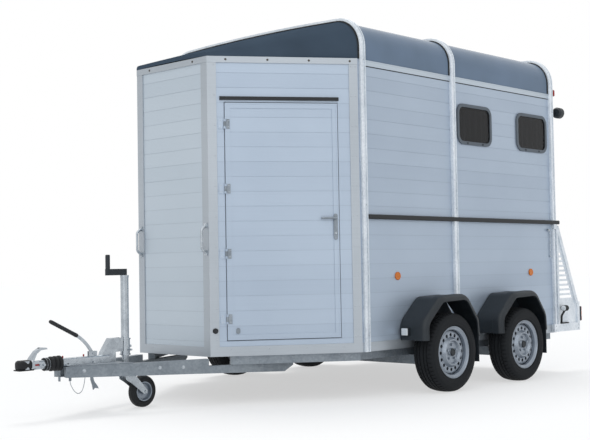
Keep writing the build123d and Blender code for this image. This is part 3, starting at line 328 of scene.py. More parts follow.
POST_RIVET_Z = [0.46 + 0.215 * step for step in range(10)]
POST_INSET = 0.046
POST_EDGE = 0.014
FOOT_RIVET_Z = WALL_FOOT + 0.045
FOOT_RIVET_RUN = [0.14 + 0.27 * step for step in range(4)]
FOOT_RIVET_X = (0.280, 0.040, -0.620, -0.860, -1.080, -2.060)
FOOT_RIVET_Y = (-0.24, 0.0, 0.24)
bm = bmesh.new()
for side in (1, -1):
    outward = nose_outward(side)
    runs = (POST_INSET, WALL_RUN - POST_INSET, WALL_RUN - POST_EDGE)
    rivets(bm, [on_nose(run, z, STRIP, side) for run in runs for z in POST_RIVET_Z], outward)
    rivets(bm, [(NOSE_X + STRIP, side * (NOSE_Y - POST_INSET), z) for z in POST_RIVET_Z], (1, 0, 0))
    rivets(bm, [on_nose(run, FOOT_RIVET_Z, STRIP, side) for run in FOOT_RIVET_RUN], outward)
    rivets(bm, [(x, side * (BODY_Y + STRIP), FOOT_RIVET_Z) for x in FOOT_RIVET_X], (0, side, 0))
rivets(bm, [(NOSE_X + STRIP, y, FOOT_RIVET_Z) for y in FOOT_RIVET_Y], (1, 0, 0))
piece("blind_rivets", bm, bright_alloy, "trailer")

# Roof screws
# Steel sealing screws pin the roof's rim along the top band, 0.3 m apart on the angled walls.
# Each has a wide moulded rubber washer that covers its head and keeps the rain out.
TOP_BAND = 0.008
ROOF_SCREW_Z = WALL_TOP - 0.022
ROOF_SCREW_RUN = [0.13 + 0.30 * step for step in range(4)]
ROOF_SCREW_Y = (-0.24, 0.24)
SCREW_HEAD = [(-0.001, 0.0), (-0.001, 0.0085), (0.0015, 0.008), (0.003, 0.0055), (0.0035, 0.0)]
bm = bmesh.new()
for side in (1, -1):
    for run in ROOF_SCREW_RUN:
        turn(bm, SCREW_HEAD, on_nose(run, ROOF_SCREW_Z, TOP_BAND, side), nose_outward(side), 14)
for y in ROOF_SCREW_Y:
    turn(bm, SCREW_HEAD, (NOSE_X + TOP_BAND, y, ROOF_SCREW_Z), (1, 0, 0), 14)
screw_rubber, tree, shader, place = finish_named("screw_washer_rubber", Roughness=0.6)
shader.inputs["Base Color"].default_value = linear("4A4640")
piece("roof_screws", bm, screw_rubber, "trailer")

# Eaves between the hoops
# A folded strip of the same anodised aluminium as the front planks, in their lighter copy, covers the
# joint of wall and roof in each bay. Under its lower edge a thin black strip paints the shadow line there:
# painted shadow.
HOOP_X = (0.380, -0.726, -2.208)
HOOP_HALF = 0.025
BAY_GAP = 0.001
STRIP_OUT = 0.007
STRIP_Z = (2.412, 2.4545)
SHADOW_LINE_OUT = 0.004
SHADOW_LINE_Z = (2.407, 2.4125)


def slab(bm, low, high, rounding=0.0, segments=2):
    """A box between two corners, with rounded edges."""
    made = bmesh.ops.create_cube(bm, size=1.0)["verts"]
    low, high = Vector(low), Vector(high)
    for vert in made:
        vert.co = (low + high) / 2 + Vector([c * (b - a) for c, a, b in zip(vert.co, low, high)])
    if rounding:
        edges = list({edge for vert in made for edge in vert.link_edges})
        bmesh.ops.bevel(bm, geom=edges, offset=rounding, segments=segments, affect="EDGES", profile=0.5)


def mirrored(low, high, side):
    """A box's corners on the left side, or their places on the right."""
    if side == 1:
        return low, high
    return (low[0], -high[1], low[2]), (high[0], -low[1], high[2])


eaves = bmesh.new()
eaves_shadow_lines = bmesh.new()
for side in (1, -1):
    for front, back in zip(HOOP_X, HOOP_X[1:]):
        x = (back + HOOP_HALF + BAY_GAP, front - HOOP_HALF - BAY_GAP)
        y = BODY_Y - 0.001
        low, high = mirrored((x[0], y, STRIP_Z[0]), (x[1], BODY_Y + STRIP_OUT, STRIP_Z[1]), side)
        slab(eaves, low, high, 0.002)
        low, high = mirrored((x[0], y, SHADOW_LINE_Z[0]), (x[1], BODY_Y + SHADOW_LINE_OUT, SHADOW_LINE_Z[1]), side)
        slab(eaves_shadow_lines, low, high, 0.001, 1)
piece("eaves_strips", eaves, front_planks_painted_light, "trailer")

# Hoops, guards, chassis and fittings
# Welded steel dipped in zinc, which freezes into leaf-like crystals about 12 mm wide, each with
# its own grey. Small fittings are plated instead, with wider, fainter leaves and more shine.
def zinc_dip(name, codes, spangle=0.012, rough=0.38, metal=0.7):
    """Zinc on steel: spangles in slightly different greys under a cloudy oxide."""
    material, tree, shader, place = finish_named(name, Metallic=metal)
    leaves = add(tree, "ShaderNodeTexVoronoi", {"Vector": place, "Scale": 1 / spangle})
    grey = add(tree, "ShaderNodeSeparateColor", {0: leaves.outputs["Color"]}).outputs
    cloud = add(tree, "ShaderNodeTexNoise", {"Vector": place, "Scale": 7.0, "Detail": 4.0})
    both = {0: grey[0], 1: 0.3, 2: cloud.outputs[0]}
    both = add(tree, "ShaderNodeMath", both, operation="MULTIPLY_ADD")
    spread = {"Value": both.outputs[0], "From Min": 0.35, "From Max": 0.95}
    two_tone(tree, shader, add(tree, "ShaderNodeMapRange", spread).outputs[0], codes)
    roughen(tree, shader, grey[1], rough - 0.08, rough + 0.1)
    emboss(tree, shader, cloud.outputs[0], 0.08, 0.0006)
    return material


galvanised = zinc_dip("hot_dip_zinc", ("C8D0D8", "E8EDF2"), metal=0.4)
beam_zinc = zinc_dip("hot_dip_zinc_beams", ("747C84", "8F979E"), 0.014, 0.45, 0.5)
plated = zinc_dip("bright_zinc_plate", ("9CA3AA", "BCC3C9"), 0.03, 0.26, 0.85)
hinge_zinc = zinc_dip("dull_zinc_hinges", ("727A82", "929AA2"), 0.02, 0.4, 0.6)
dress(galvanised, "side_guards", "window_bars", "partition_brackets")
dress(hinge_zinc, "tack_door_fittings")
dress(beam_zinc, "axles", "chassis_frame", "drawbar")
dress(
    plated,
    "overrun_housing",
    "coupling_head",
    "coupling_handle",
    "handbrake",
    "jockey_clamp",
    "jockey_tube",
    "jockey_leg",
    "jockey_fork",
    "grab_handles",
    "latch_rods",
)

# Hoops
# Each hoop is a channel rolled to one round arch with straight legs. Its outer face has a groove in which
# bolts hold it to the wall. A thin black strip along its front edge, from the roof's foot over the arch,
# is painted shadow and reflection.
ARCH_HALF = 1.055
ARCH_TOP = 2.800
ARCH_CORNER = 0.235
ARCH_CROWN = 20.0
CORNER_STEPS = 12
CROWN_STEPS = 8
HOOP_DEPTH = 0.028
HOOP_FOOT = (0.3435, 0.3435, 0.3495)
HOOP_CHANNEL = [(0.0250, 0.000), (0.0250, 0.020), (0.0225, 0.0262), (0.0160, 0.028), (0.0020, 0.028)]
HOOP_CHANNEL += [(-0.0008, 0.0265), (-0.0012, 0.021), (-0.0112, 0.021), (-0.0116, 0.0265)]
HOOP_CHANNEL += [(-0.0145, 0.028), (-0.0200, 0.028), (-0.0240, 0.0258), (-0.0256, 0.020), (-0.0256, 0.000)]
HOOP_SHADOW_STRIP = [(0.0250, 0.0), (0.0250, 0.009), (0.0300, 0.008), (0.0345, 0.0)]
HOOP_SHADOW_FOOT = 2.456


def arch_line(foot):
    """Stations along the left half of the arch: a point on its outer line, and the way out."""
    corner_y = ARCH_HALF - ARCH_CORNER
    drop = math.sqrt((ARCH_CROWN - ARCH_CORNER) ** 2 - corner_y**2)
    corner_z = ARCH_TOP - ARCH_CROWN + drop
    lean = math.atan2(corner_y, drop)
    stations = [(Vector((0, ARCH_HALF, foot)), Vector((0, 1, 0)))]
    for step in range(CORNER_STEPS + 1):
        a = lean + (math.pi / 2 - lean) * (1 - step / CORNER_STEPS)
        outward = Vector((0, math.sin(a), math.cos(a)))
        stations.append((Vector((0, corner_y, corner_z)) + outward * ARCH_CORNER, outward))
    for step in range(1, CROWN_STEPS + 1):
        a = lean * (1 - step / CROWN_STEPS)
        outward = Vector((0, math.sin(a), math.cos(a)))
        stations.append((Vector((0, 0, ARCH_TOP - ARCH_CROWN)) + outward * ARCH_CROWN, outward))
    return stations


def whole_arch(foot):
    """Both halves of the arch, from the left foot over the top to the right foot."""
    left = arch_line(foot)
    flip = Vector((1, -1, 1))
    return left + [(point * flip, outward * flip) for point, outward in reversed(left[:-1])]


def skin(bm, rings, closed=False):
    """Joins matching rings of points into a shell: round to the first one, or closed at its ends."""
    made = [[bm.verts.new(corner) for corner in ring] for ring in rings]
    count = len(made[0])
    followers = made[1:] + made[:1] if closed else made[1:]
    for ring, after in zip(made, followers):
        for index in range(count):
            following = (index + 1) % count
            bm.faces.new((ring[index], ring[following], after[following], after[index]))
    if not closed:
        bm.faces.new(made[0])
        bm.faces.new(made[-1])


def along_arch(bm, section, x, foot):
    """Carries an (x, out) section over the arch; out counts from the hoop's inner face."""
    rings = []
    for point, outward in whole_arch(foot):
        start = Vector((x, 0, 0)) + point - outward * HOOP_DEPTH
        rings.append([start + Vector((offset, 0, 0)) + outward * out for offset, out in section])
    skin(bm, rings)


bm = bmesh.new()
for x, foot in zip(HOOP_X, HOOP_FOOT):
    along_arch(bm, HOOP_CHANNEL, x, foot)
hoops = piece("rolled_hoops", bm, galvanised, "trailer", 30)
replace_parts(hoops, "hoops")
hoop_shadow_strips = bmesh.new()
for x in HOOP_X:
    along_arch(hoop_shadow_strips, HOOP_SHADOW_STRIP, x, HOOP_SHADOW_FOOT)

# Bolts through the hoops and guards
# Domed zinc-plated heads in its groove hold each hoop to the wall. Two pairs of them hold the
# beam of each slotted guard to the chassis.
GROOVE_BACK = 0.0062
GROOVE_OUT = 0.021
HOOP_BOLT_Z = (2.452, 2.372, 1.40, 0.46)
GUARD_BOLT_X = (-2.18, -2.56)
GUARD_BOLT_Z = (0.365, 0.400)
GUARD_FACE_Y = 1.062
bm = bmesh.new()
for side in (1, -1):
    for x in HOOP_X:
        spots = [(x - GROOVE_BACK, side * (BODY_Y + GROOVE_OUT), z) for z in HOOP_BOLT_Z]
        rivets(bm, spots, (0, side, 0))
    guard_spots = [(x, side * GUARD_FACE_Y, z) for x in GUARD_BOLT_X for z in GUARD_BOLT_Z]
    rivets(bm, guard_spots, (0, side, 0))
piece("hoop_bolts", bm, plated, "trailer")

# Roof
# Glass-reinforced plastic laid up behind a dark blue-grey gelcoat, polished by its mould, with a
# faint waviness that shows only in reflections. It runs as a barrel over the hoops' inner line
# and closes forwards in straight lines to a low lip over the front wall.
def gelcoated(name, codes, shine):
    """Polished gelcoat: a slow drift of colour and a shallow waviness under a smooth skin."""
    material, tree, shader, place = finish_named(name, Roughness=0.22, Specular_IOR_Level=shine)
    wave = add(tree, "ShaderNodeTexNoise", {"Vector": place, "Scale": 3.0, "Detail": 2.0})
    two_tone(tree, shader, wave.outputs[0], codes)
    emboss(tree, shader, wave.outputs[0], 0.15, 0.004)
    return material


# Two copies of one gelcoat. The barrel's lighter blue-grey is partly painted reflection of the bright sky.
# The nose's darker copy, without shine, is painted reflection of darker surroundings.
gelcoat = gelcoated("barrel_gelcoat_painted_sky", ("627283", "73859C"), 0.12)
nose_gelcoat_painted_reflection = gelcoated("nose_gelcoat_painted_dark_reflection", ("3C4753", "4A5867"), 0.0)
ROOF_FOOT = WALL_TOP + 0.0005
ROOF_T = 0.018
ROOF_GAP = 0.0003
ROOF_JOINT = HOOP_X[0] + HOOP_HALF + ROOF_GAP
LIP_RISE = 0.030
LIP_ROUND = 0.022
LIP_CROWN = 0.006
INNER_RISE = 0.001
INNER_ROUND = 0.0008
NOSE_STEPS = 12


def roof_ring(x, outer, inner):
    """A ring of a roof shell: an outer and an inner line of (y, z) points at one x."""
    return [Vector((x, y, z)) for y, z in outer + list(reversed(inner))]


def arch_points(depth):
    """The arch's points in (y, z), moved inwards by depth, from the roof's foot."""
    return [((p - out * depth).y, (p - out * depth).z) for p, out in whole_arch(ROOF_FOOT)]


def lip_points(half, rise, radius):
    """The nose's lip with as many points as the arch, in (y, z)."""
    left = [(half, ROOF_FOOT)]
    for step in range(CORNER_STEPS + 1):
        a = math.pi / 2 * step / CORNER_STEPS
        level = ROOF_FOOT + rise - radius + radius * math.sin(a)
        left.append((half - radius + radius * math.cos(a), level))
    for step in range(1, CROWN_STEPS + 1):
        share = step / CROWN_STEPS
        level = ROOF_FOOT + rise + LIP_CROWN * (1 - (1 - share) ** 2)
        left.append(((half - radius) * (1 - share), level))
    return left + [(-y, z) for y, z in reversed(left[:-1])]


barrel = roof_ring(0.0, arch_points(HOOP_DEPTH + ROOF_GAP), arch_points(HOOP_DEPTH + ROOF_T))
stations = [HOOP_X[0] + HOOP_HALF, HOOP_X[1], HOOP_X[2] - HOOP_HALF]
bm = bmesh.new()
skin(bm, [[Vector((x, corner.y, corner.z)) for corner in barrel] for x in stations])
barrel_roof = piece("barrel_roof", bm, gelcoat, "trailer", 50)
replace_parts(barrel_roof, "rear_roof")
lip_out = lip_points(NOSE_Y + STRIP, LIP_RISE, LIP_ROUND)
lip_in = lip_points(NOSE_Y - ROOF_T, INNER_RISE, INNER_ROUND)
lip = roof_ring(NOSE_X + STRIP, lip_out, lip_in)
start = [Vector((ROOF_JOINT, corner.y, corner.z)) for corner in barrel]
bm = bmesh.new()
shares = [step / NOSE_STEPS for step in range(NOSE_STEPS + 1)]
skin(bm, [[back.lerp(front, share) for back, front in zip(start, lip)] for share in shares])
nose_roof = piece("nose_roof", bm, nose_gelcoat_painted_reflection, "trailer", 50)
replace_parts(nose_roof, "front_roof")

# Black plastic and rubber
# Mudguards, rail and gutter are polyethylene moulded in a grained tool, matt on its hills. The
# grain is drawn 1.2 mm wide, twice the real one, so that it shows.
def moulded(name, codes, rough=0.55, grain=0.0012, lift=0.25, sheen=0.3):
    """Moulded plastic or rubber: a cell grain and slow stains, with little mirror shine."""
    material, tree, shader, place = finish_named(name, Specular_IOR_Level=sheen)
    cells = add(tree, "ShaderNodeTexVoronoi", {"Vector": place, "Scale": 1 / grain})
    haze = add(tree, "ShaderNodeTexNoise", {"Vector": place, "Scale": 6.0, "Detail": 4.0})
    two_tone(tree, shader, haze.outputs[0], codes)
    roughen(tree, shader, haze.outputs[0], rough - 0.08, rough + 0.08)
    emboss(tree, shader, cells.outputs[0], lift, 0.0002)
    return material


guard_plastic = moulded("grained_polyethylene", ("1B2025", "262D33"), 0.48, sheen=0.35)
black_rail = moulded("extruded_black_plastic", ("1E2022", "2C2E31"), 0.5)
black_rubber = moulded("black_rubber", ("141618", "1F2124"), 0.6, 0.0008, 0.15)
tyre_rubber = moulded("tyre_rubber", ("15171A", "1F2225"), 0.72, 0.001, 0.2, 0.2)
grey_plastic = moulded("grey_window_plastic", ("515961", "5F6770"), 0.5)
dress(guard_plastic, "work_lamp", "jockey_crank")
dress(black_rail, "rub_rails", "door_gutter", "door_holder")
dress(black_rubber, "bellows", "jockey_tyre", "outline_lamps")
dress(grey_plastic, "window_frames")
# Thin black strips under the eaves strips: painted shadow lines.
piece("eaves_painted_shadow_lines", eaves_shadow_lines, black_rubber, "trailer")
# Thin black strips along the hoops' front edges: painted shadow and reflection.
piece("hoop_front_painted_shadow", hoop_shadow_strips, black_rubber, "trailer")

# Mudguards
# Vacuum-formed polyethylene: a low band by the wall, a raised outer band that rolls over a wide
# shoulder, and a bead round the mouth. A flap of the same plastic hangs behind each wheel.
WHEEL_R = 0.298
WHEEL_Y = 1.163
AXLE_X = {"front": -0.386, "rear": -1.371}
GUARD_OUT = 1.2695
GUARD_LINE = [(0.383, 0.405), (0.383, 0.546), (0.170, 0.726), (-0.165, 0.736), (-0.322, 0.540)]
GUARD_LINE += [(-0.334, 0.405)]
GUARD_BEND = 0.130
GUARD_BAND = 0.007
GUARD_INNER = 0.013
BAND_STEP = (GUARD_OUT - 0.084, GUARD_OUT - 0.079)
GUARD_BEAD = [(0.0035, 0.0375), (0.004, 0.0425), (0.001, 0.0460), (-0.010, 0.0460)]
GUARD_BEAD += [(-0.014, 0.030), (-0.045, 0.013)]
SHOULDER = 0.036
SHOULDER_STEPS = 7
BY_WALL_Y = BODY_Y + 0.0063
BY_HOOP_Y = 1.060
HOOP_ROOM = 0.045
FLAP_X = (-0.3207, -0.315)
FLAP_Y = (WHEEL_Y - 0.101, WHEEL_Y + 0.089)
FLAP_Z = (0.206, 0.448)


def rounded_line(corners, radius, steps=7):
    """Stations along a bent line with rounded corners: a point in (x, z), and the way out."""
    corners = [Vector(corner) for corner in corners]
    ways = [(after - before).normalized() for before, after in zip(corners, corners[1:])]
    outs = [Vector((way.y, -way.x)) for way in ways]
    stations = [(corners[0], outs[0])]
    for index, corner in enumerate(corners[1:-1]):
        bend = outs[index].angle(outs[index + 1])
        middle = corner - ways[index] * radius * math.tan(bend / 2) - outs[index] * radius
        start = math.atan2(outs[index].y, outs[index].x)
        for step in range(steps + 1):
            a = start + bend * step / steps
            outward = Vector((math.cos(a), math.sin(a)))
            stations.append((middle + outward * radius, outward))
    return stations + [(corners[-1], outs[-1])]


def guard_section(wall_y):
    """The guard's wall in (y, inset) pairs: its outer skin, the bead and its inner skin."""
    section = [(wall_y, GUARD_BAND), (BAND_STEP[0], GUARD_BAND), (BAND_STEP[1], 0.0)]
    for step in range(SHOULDER_STEPS + 1):
        a = math.pi / 2 * step / SHOULDER_STEPS
        reach = GUARD_OUT - SHOULDER + SHOULDER * math.sin(a)
        section.append((reach, SHOULDER - SHOULDER * math.cos(a)))
    section += [(GUARD_OUT + out, inset) for out, inset in GUARD_BEAD]
    return section + [(wall_y, GUARD_INNER)]


bm = bmesh.new()
for x in AXLE_X.values():
    for side in (1, -1):
        rings = []
        for point, outward in rounded_line(GUARD_LINE, GUARD_BEND):
            beside_hoop = any(abs(x + point.x - hoop) < HOOP_ROOM for hoop in HOOP_X)
            section = guard_section(BY_HOOP_Y if beside_hoop else BY_WALL_Y)
            ring = [(point - outward * inset, y) for y, inset in section]
            rings.append([Vector((x + flat.x, side * y, flat.y)) for flat, y in ring])
        skin(bm, rings)
        low, high = zip((x + FLAP_X[0], x + FLAP_X[1]), FLAP_Y, FLAP_Z)
        slab(bm, *mirrored(low, high, side), 0.001, 1)
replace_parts(piece("formed_mudguards", bm, guard_plastic, "trailer", 40), "mudguards")

# Tyres
# Low road tyres: a rounded sidewall with a rim guard and two fine rings, and a tread of five
# ribs whose outer ones are cut into blocks. Natural rubber with soot, matt and grey with use.
SIDES = (("left", 1), ("right", -1))
BLOCKS = 56
OUTER_BLOCK = (0.048, 0.080)
INNER_BLOCK = (0.0205, 0.040)
BLOCK_STEPS = (0.0, 0.035, 0.185, 0.22, 0.5, 0.53, 0.63, 0.66)
SIDEWALL = [
    (0.060, 0.179),
    (0.069, 0.196),
    (0.083, 0.2005),
    (0.0885, 0.206),
    (0.0905, 0.2085),
    (0.0900, 0.213),
    (0.0922, 0.228),
    (0.0928, 0.2285),
    (0.0928, 0.2315),
    (0.0920, 0.232),
    (0.0925, 0.244),
    (0.0905, 0.2585),
    (0.0910, 0.259),
    (0.0900, 0.264),
    (0.0880, 0.2665),
    (0.0835, 0.277),
    (0.0790, 0.285),
]
TREAD = [
    (0.0680, 0.2920),
    (0.0485, 0.2953),
    (0.0475, 0.2885),
    (0.0405, 0.2885),
    (0.0395, 0.2962),
    (0.0210, 0.2975),
    (0.0200, 0.2900),
    (0.0130, 0.2900),
    (0.0120, 0.2979),
]


def cut_depth(y, phase):
    """How deep the sideways cuts are at a place across the tread and along one block."""
    outer_cut = BLOCK_STEPS[1] <= phase <= BLOCK_STEPS[2]
    inner_cut = BLOCK_STEPS[5] <= phase <= BLOCK_STEPS[6]
    if OUTER_BLOCK[0] < abs(y) < OUTER_BLOCK[1] and outer_cut:
        return 0.0060 if abs(y) < 0.075 else 0.0035
    if INNER_BLOCK[0] < abs(y) < INNER_BLOCK[1] and inner_cut:
        return 0.0050
    return 0.0


def tyre(name, x, y, body):
    """One tyre: its half section of (across, radius) pairs, mirrored and carried round in steps."""
    half = SIDEWALL + TREAD
    section = half + [(-across_y, r) for across_y, r in reversed(half)]
    rings = []
    for block in range(BLOCKS):
        for phase in BLOCK_STEPS:
            angle = 2 * math.pi * (block + phase) / BLOCKS
            cut = [(offset, radius - cut_depth(offset, phase)) for offset, radius in section]
            dx, dz = math.cos(angle), math.sin(angle)
            rings.append([(x + r * dx, y + offset, WHEEL_R + r * dz) for offset, r in cut])
    bm = bmesh.new()
    skin(bm, rings, closed=True)
    return piece(name, bm, tyre_rubber, body, 38)


for end, x in AXLE_X.items():
    for side_name, side in SIDES:
        made = tyre(f"road_tyre_{end}_{side_name}", x, side * WHEEL_Y, f"wheel_{end}_{side_name}")
        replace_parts(made, f"tyre_{end}_{side_name}")

# Wheels
# Pressed steel rims sprayed silver: metal flake in a clear-coated paint, drawn 1 mm wide so that
# it shows. A black plastic cap snaps over the hub, and a black valve stands in the well.
silver, tree, shader, place = finish_named(
    "silver_wheel_paint", Metallic=0.6, Roughness=0.36, Coat_Weight=0.3, Coat_Roughness=0.15
)
flake = add(tree, "ShaderNodeTexVoronoi", {"Vector": place, "Scale": 900.0})
dirt = add(tree, "ShaderNodeTexNoise", {"Vector": place, "Scale": 14.0, "Detail": 4.0})
two_tone(tree, shader, dirt.outputs[0], ("6E7783", "9FA8B2"))
emboss(tree, shader, flake.outputs[0], 0.05, 0.0002)
dress(silver, "jockey_rim", *[f"rim_{end}_{side_name}" for end in AXLE_X for side_name, side in SIDES])
CAP = [(0.066, 0.0), (0.066, 0.029), (0.072, 0.0285), (0.0755, 0.026), (0.0765, 0.021), (0.074, 0.019)]
CAP += [(0.074, 0.0)]
VALVE = [(0.020, 0.0), (0.020, 0.0045), (0.040, 0.0045), (0.041, 0.0035), (0.046, 0.0035)]
VALVE += [(0.046, 0.0042), (0.056, 0.004), (0.058, 0.0025), (0.058, 0.0)]
VALVE_AWAY = 0.112
for end, x in AXLE_X.items():
    for side_name, side in SIDES:
        bm = bmesh.new()
        turn(bm, CAP, (x, side * WHEEL_Y, WHEEL_R), (0, side, 0), 36)
        valve_at = (x + VALVE_AWAY, side * WHEEL_Y, WHEEL_R + VALVE_AWAY)
        turn(bm, VALVE, valve_at, (0, side, 0), 12)
        name = f"hub_cap_{end}_{side_name}"
        piece(name, bm, guard_plastic, f"wheel_{end}_{side_name}")

# Brakes and wheel arches
# A painted brake drum fills each wheel behind its vents, and a thin black sheet of the guards' plastic
# covers the wall inside each guard.
drum_iron = moulded("black_painted_drum", ("161819", "24272A"), 0.6, 0.003, 0.2)
DRUM = [(-0.068, 0.0), (-0.068, 0.146), (-0.060, 0.150), (0.014, 0.150), (0.020, 0.143), (0.020, 0.0)]
ARCH_SHEET_INSET = 0.0135
ARCH_SHEET_BACK = -0.312
ARCH_SHEET_Y = (BODY_Y + 0.0068, BODY_Y + 0.0095)
GUARD_STATIONS = rounded_line(GUARD_LINE, GUARD_BEND)
ARCH_SHEET_EDGE = [point - outward * ARCH_SHEET_INSET for point, outward in GUARD_STATIONS]
ARCH_SHEET = [(max(point.x, ARCH_SHEET_BACK), point.y) for point in ARCH_SHEET_EDGE]
arch_sheets = bmesh.new()
for end, x in AXLE_X.items():
    for side_name, side in SIDES:
        bm = bmesh.new()
        turn(bm, DRUM, (x, side * WHEEL_Y, WHEEL_R), (0, side, 0), 48)
        piece(f"brake_drum_{end}_{side_name}", bm, drum_iron, f"wheel_{end}_{side_name}")
        skin(arch_sheets, [[(x + dx, side * y, z) for dx, z in ARCH_SHEET] for y in ARCH_SHEET_Y])
piece("arch_black_sheets", arch_sheets, guard_plastic, "trailer")

# Windows
# Tinted acrylic panes, through which the bars behind them show dark, in a grey moulded frame.
# They are bedded in a black rubber bead, and two turning catches sit in the frame's lower edge.
WINDOW_X = (-1.274, -2.137)
WINDOW = (0.484, 0.328)
WINDOW_Z = 1.920
RIM = 0.026
PANE_CORNER = 0.050
SEAL_OUT = 0.0035
SEAL_R = 0.004
CATCH = [(-0.001, 0.0), (-0.001, 0.008), (0.003, 0.0078), (0.0045, 0.006), (0.0045, 0.0)]
CATCH_SHARES = (0.28, 0.72)
CATCH_OUT = 0.012
CATCH_UP = 0.0125
# The panes are darker and less clear than a tint alone would make them: partly their own tint, and partly
# painted shade that stands for the dark inside.
tint_and_inside_shade, tree, shader, place = finish_named(
    "tinted_acrylic_painted_inside_shade", Roughness=0.08, Specular_IOR_Level=0.25, Alpha=0.72
)
waver = add(tree, "ShaderNodeTexNoise", {"Vector": place, "Scale": 4.0, "Detail": 1.0})
two_tone(tree, shader, waver.outputs[0], ("0C0E11", "14171B"))
emboss(tree, shader, waver.outputs[0], 0.05, 0.002)
dress(tint_and_inside_shade, "window_panes")


def round_loop(x, z, width, height, corner, steps=6):
    """Points round a rectangle with round corners, in a side view."""
    points = []
    turns = ((1, 1, 0), (-1, 1, 90), (-1, -1, 180), (1, -1, 270))
    for to_x, to_z, start in turns:
        middle_x = x + to_x * (width / 2 - corner)
        middle_z = z + to_z * (height / 2 - corner)
        for step in range(steps + 1):
            a = math.radians(start + 90 * step / steps)
            points.append((middle_x + corner * math.cos(a), middle_z + corner * math.sin(a)))
    return points


def bead(bm, points, radius, steps=8):
    """A round bar of rubber or wire on a closed line of points in space."""
    points = [Vector(point) for point in points]
    rings = []
    reference = None
    for index, point in enumerate(points):
        along = (points[(index + 1) % len(points)] - points[index - 1]).normalized()
        if reference is None:
            reference = along.orthogonal()
        reference = (reference - along * reference.dot(along)).normalized()
        other = along.cross(reference)
        angles = [2 * math.pi * step / steps for step in range(steps)]
        spokes = [reference * math.cos(a) + other * math.sin(a) for a in angles]
        rings.append([point + spoke * radius for spoke in spokes])
    skin(bm, rings, closed=True)


seals = bmesh.new()
catches = bmesh.new()
for side in (1, -1):
    for x in WINDOW_X:
        middle = x + WINDOW[0] / 2
        size = [full - 2 * RIM for full in WINDOW]
        loop = round_loop(middle, WINDOW_Z + WINDOW[1] / 2, *size, PANE_CORNER)
        bead(seals, [(px, side * (BODY_Y + SEAL_OUT), pz) for px, pz in loop], SEAL_R)
        for share in CATCH_SHARES:
            spot = (x + share * WINDOW[0], side * (BODY_Y + CATCH_OUT), WINDOW_Z + CATCH_UP)
            turn(catches, CATCH, spot, (0, side, 0), 16)
piece("window_seals", seals, black_rubber, "trailer")
piece("window_catches", catches, guard_plastic, "trailer")

# Inside
# A rubber mat with small studs lies on the plywood floor. Pale board closes off the tack room,
# and the same pale finish covers the steel gate that parts the horses.
mat = moulded("stall_mat", ("1E1F20", "2B2C2E"), 0.8, 0.006, 0.5)
board = moulded("pale_wall_board", ("8F9296", "A6A8AA"), 0.6, 0.002, 0.1)
dress(mat, "floor")
dress(board, "bulkhead", "partition")

# Ramp
# Strips of ribbed rubber, moulded like the floor's mat, are glued between the battens of the
# ramp, where the horse treads.
RAMP_FACE_X = -2.238
RAMP_REACH = 0.925
RAMP_FOOT_Z = 0.400
BATTEN_PITCH = 0.190
BATTEN_ROOM = 0.020
BATTEN_Z = [0.484 + BATTEN_PITCH * row for row in range(7)]
STRIP_X = (RAMP_FACE_X - 0.0005, RAMP_FACE_X + 0.003)
RIB_X = (RAMP_FACE_X + 0.002, RAMP_FACE_X + 0.006)
RIB_PITCH = 0.030
RIB_WIDE = 0.008
strips = bmesh.new()
for low_z, high_z in zip([BATTEN_Z[0] - BATTEN_PITCH] + BATTEN_Z, BATTEN_Z):
    bottom = max(low_z + BATTEN_ROOM, RAMP_FOOT_Z)
    top = high_z - BATTEN_ROOM
    slab(strips, (STRIP_X[0], -RAMP_REACH, bottom), (STRIP_X[1], RAMP_REACH, top), 0.001, 1)
    for row in range(int((top - bottom) / RIB_PITCH)):
        z = bottom + RIB_PITCH / 2 + row * RIB_PITCH
        slab(strips, (RIB_X[0], -RAMP_REACH, z), (RIB_X[1], RAMP_REACH, z + RIB_WIDE), 0.0015, 1)
piece("ramp_mat", strips, mat, "rear_ramp")

# Tack room door
# The leaf closes on a grey rubber seal. Its hinge flaps and its lever lock are held by
# zinc-plated countersunk screws, and the lock has a round barrel under its lever.
DOOR_RUN = (0.120, WALL_RUN - 0.154)
DOOR_Z = (0.455, 2.125)
DOOR_GAP = 0.003
HINGE_RUN = DOOR_RUN[0] - DOOR_GAP
HINGE_SPAN = DOOR_Z[1] - DOOR_Z[0] - 0.298
HINGE_Z = [DOOR_Z[0] + 0.147 + k * HINGE_SPAN / 3 for k in range(4)]
LEAF_FLAP_RUN = HINGE_RUN + 0.026
LEAF_FLAP_OUT = 0.0103
WALL_FLAP_RUN = HINGE_RUN - 0.030
FLAP_SCREW_OFF = 0.022
LOCK_RUN = DOOR_RUN[1] - 0.026
LOCK_Z = DOOR_Z[0] + 0.787
LOCK_OUT = 0.0143
LOCK_SCREW_OFF = 0.082
BARREL_DOWN = 0.045
SCREW = [(-0.0005, 0.0), (-0.0005, 0.0036), (0.0008, 0.0034), (0.0012, 0.0016), (0.0002, 0.0)]
BARREL = [(0.0, 0.0), (0.0, 0.0085), (0.003, 0.0085), (0.004, 0.0072), (0.0035, 0.002), (0.0015, 0.0)]
outward = nose_outward()
leaf_screws = bmesh.new()
wall_screws = bmesh.new()
for z in HINGE_Z:
    for height in (z - FLAP_SCREW_OFF, z + FLAP_SCREW_OFF):
        turn(leaf_screws, SCREW, on_nose(LEAF_FLAP_RUN, height, LEAF_FLAP_OUT), outward, 12)
        turn(wall_screws, SCREW, on_nose(WALL_FLAP_RUN, height, STRIP), outward, 12)
turn(leaf_screws, BARREL, on_nose(LOCK_RUN, LOCK_Z - BARREL_DOWN, LOCK_OUT), outward, 20)
for height in (LOCK_Z - LOCK_SCREW_OFF, LOCK_Z + LOCK_SCREW_OFF):
    turn(leaf_screws, SCREW, on_nose(LOCK_RUN, height, LOCK_OUT), outward, 12)
piece("door_screws", leaf_screws, plated, "tack_door")
piece("hinge_screws", wall_screws, plated, "trailer")
SEAL_DEEP = 0.005
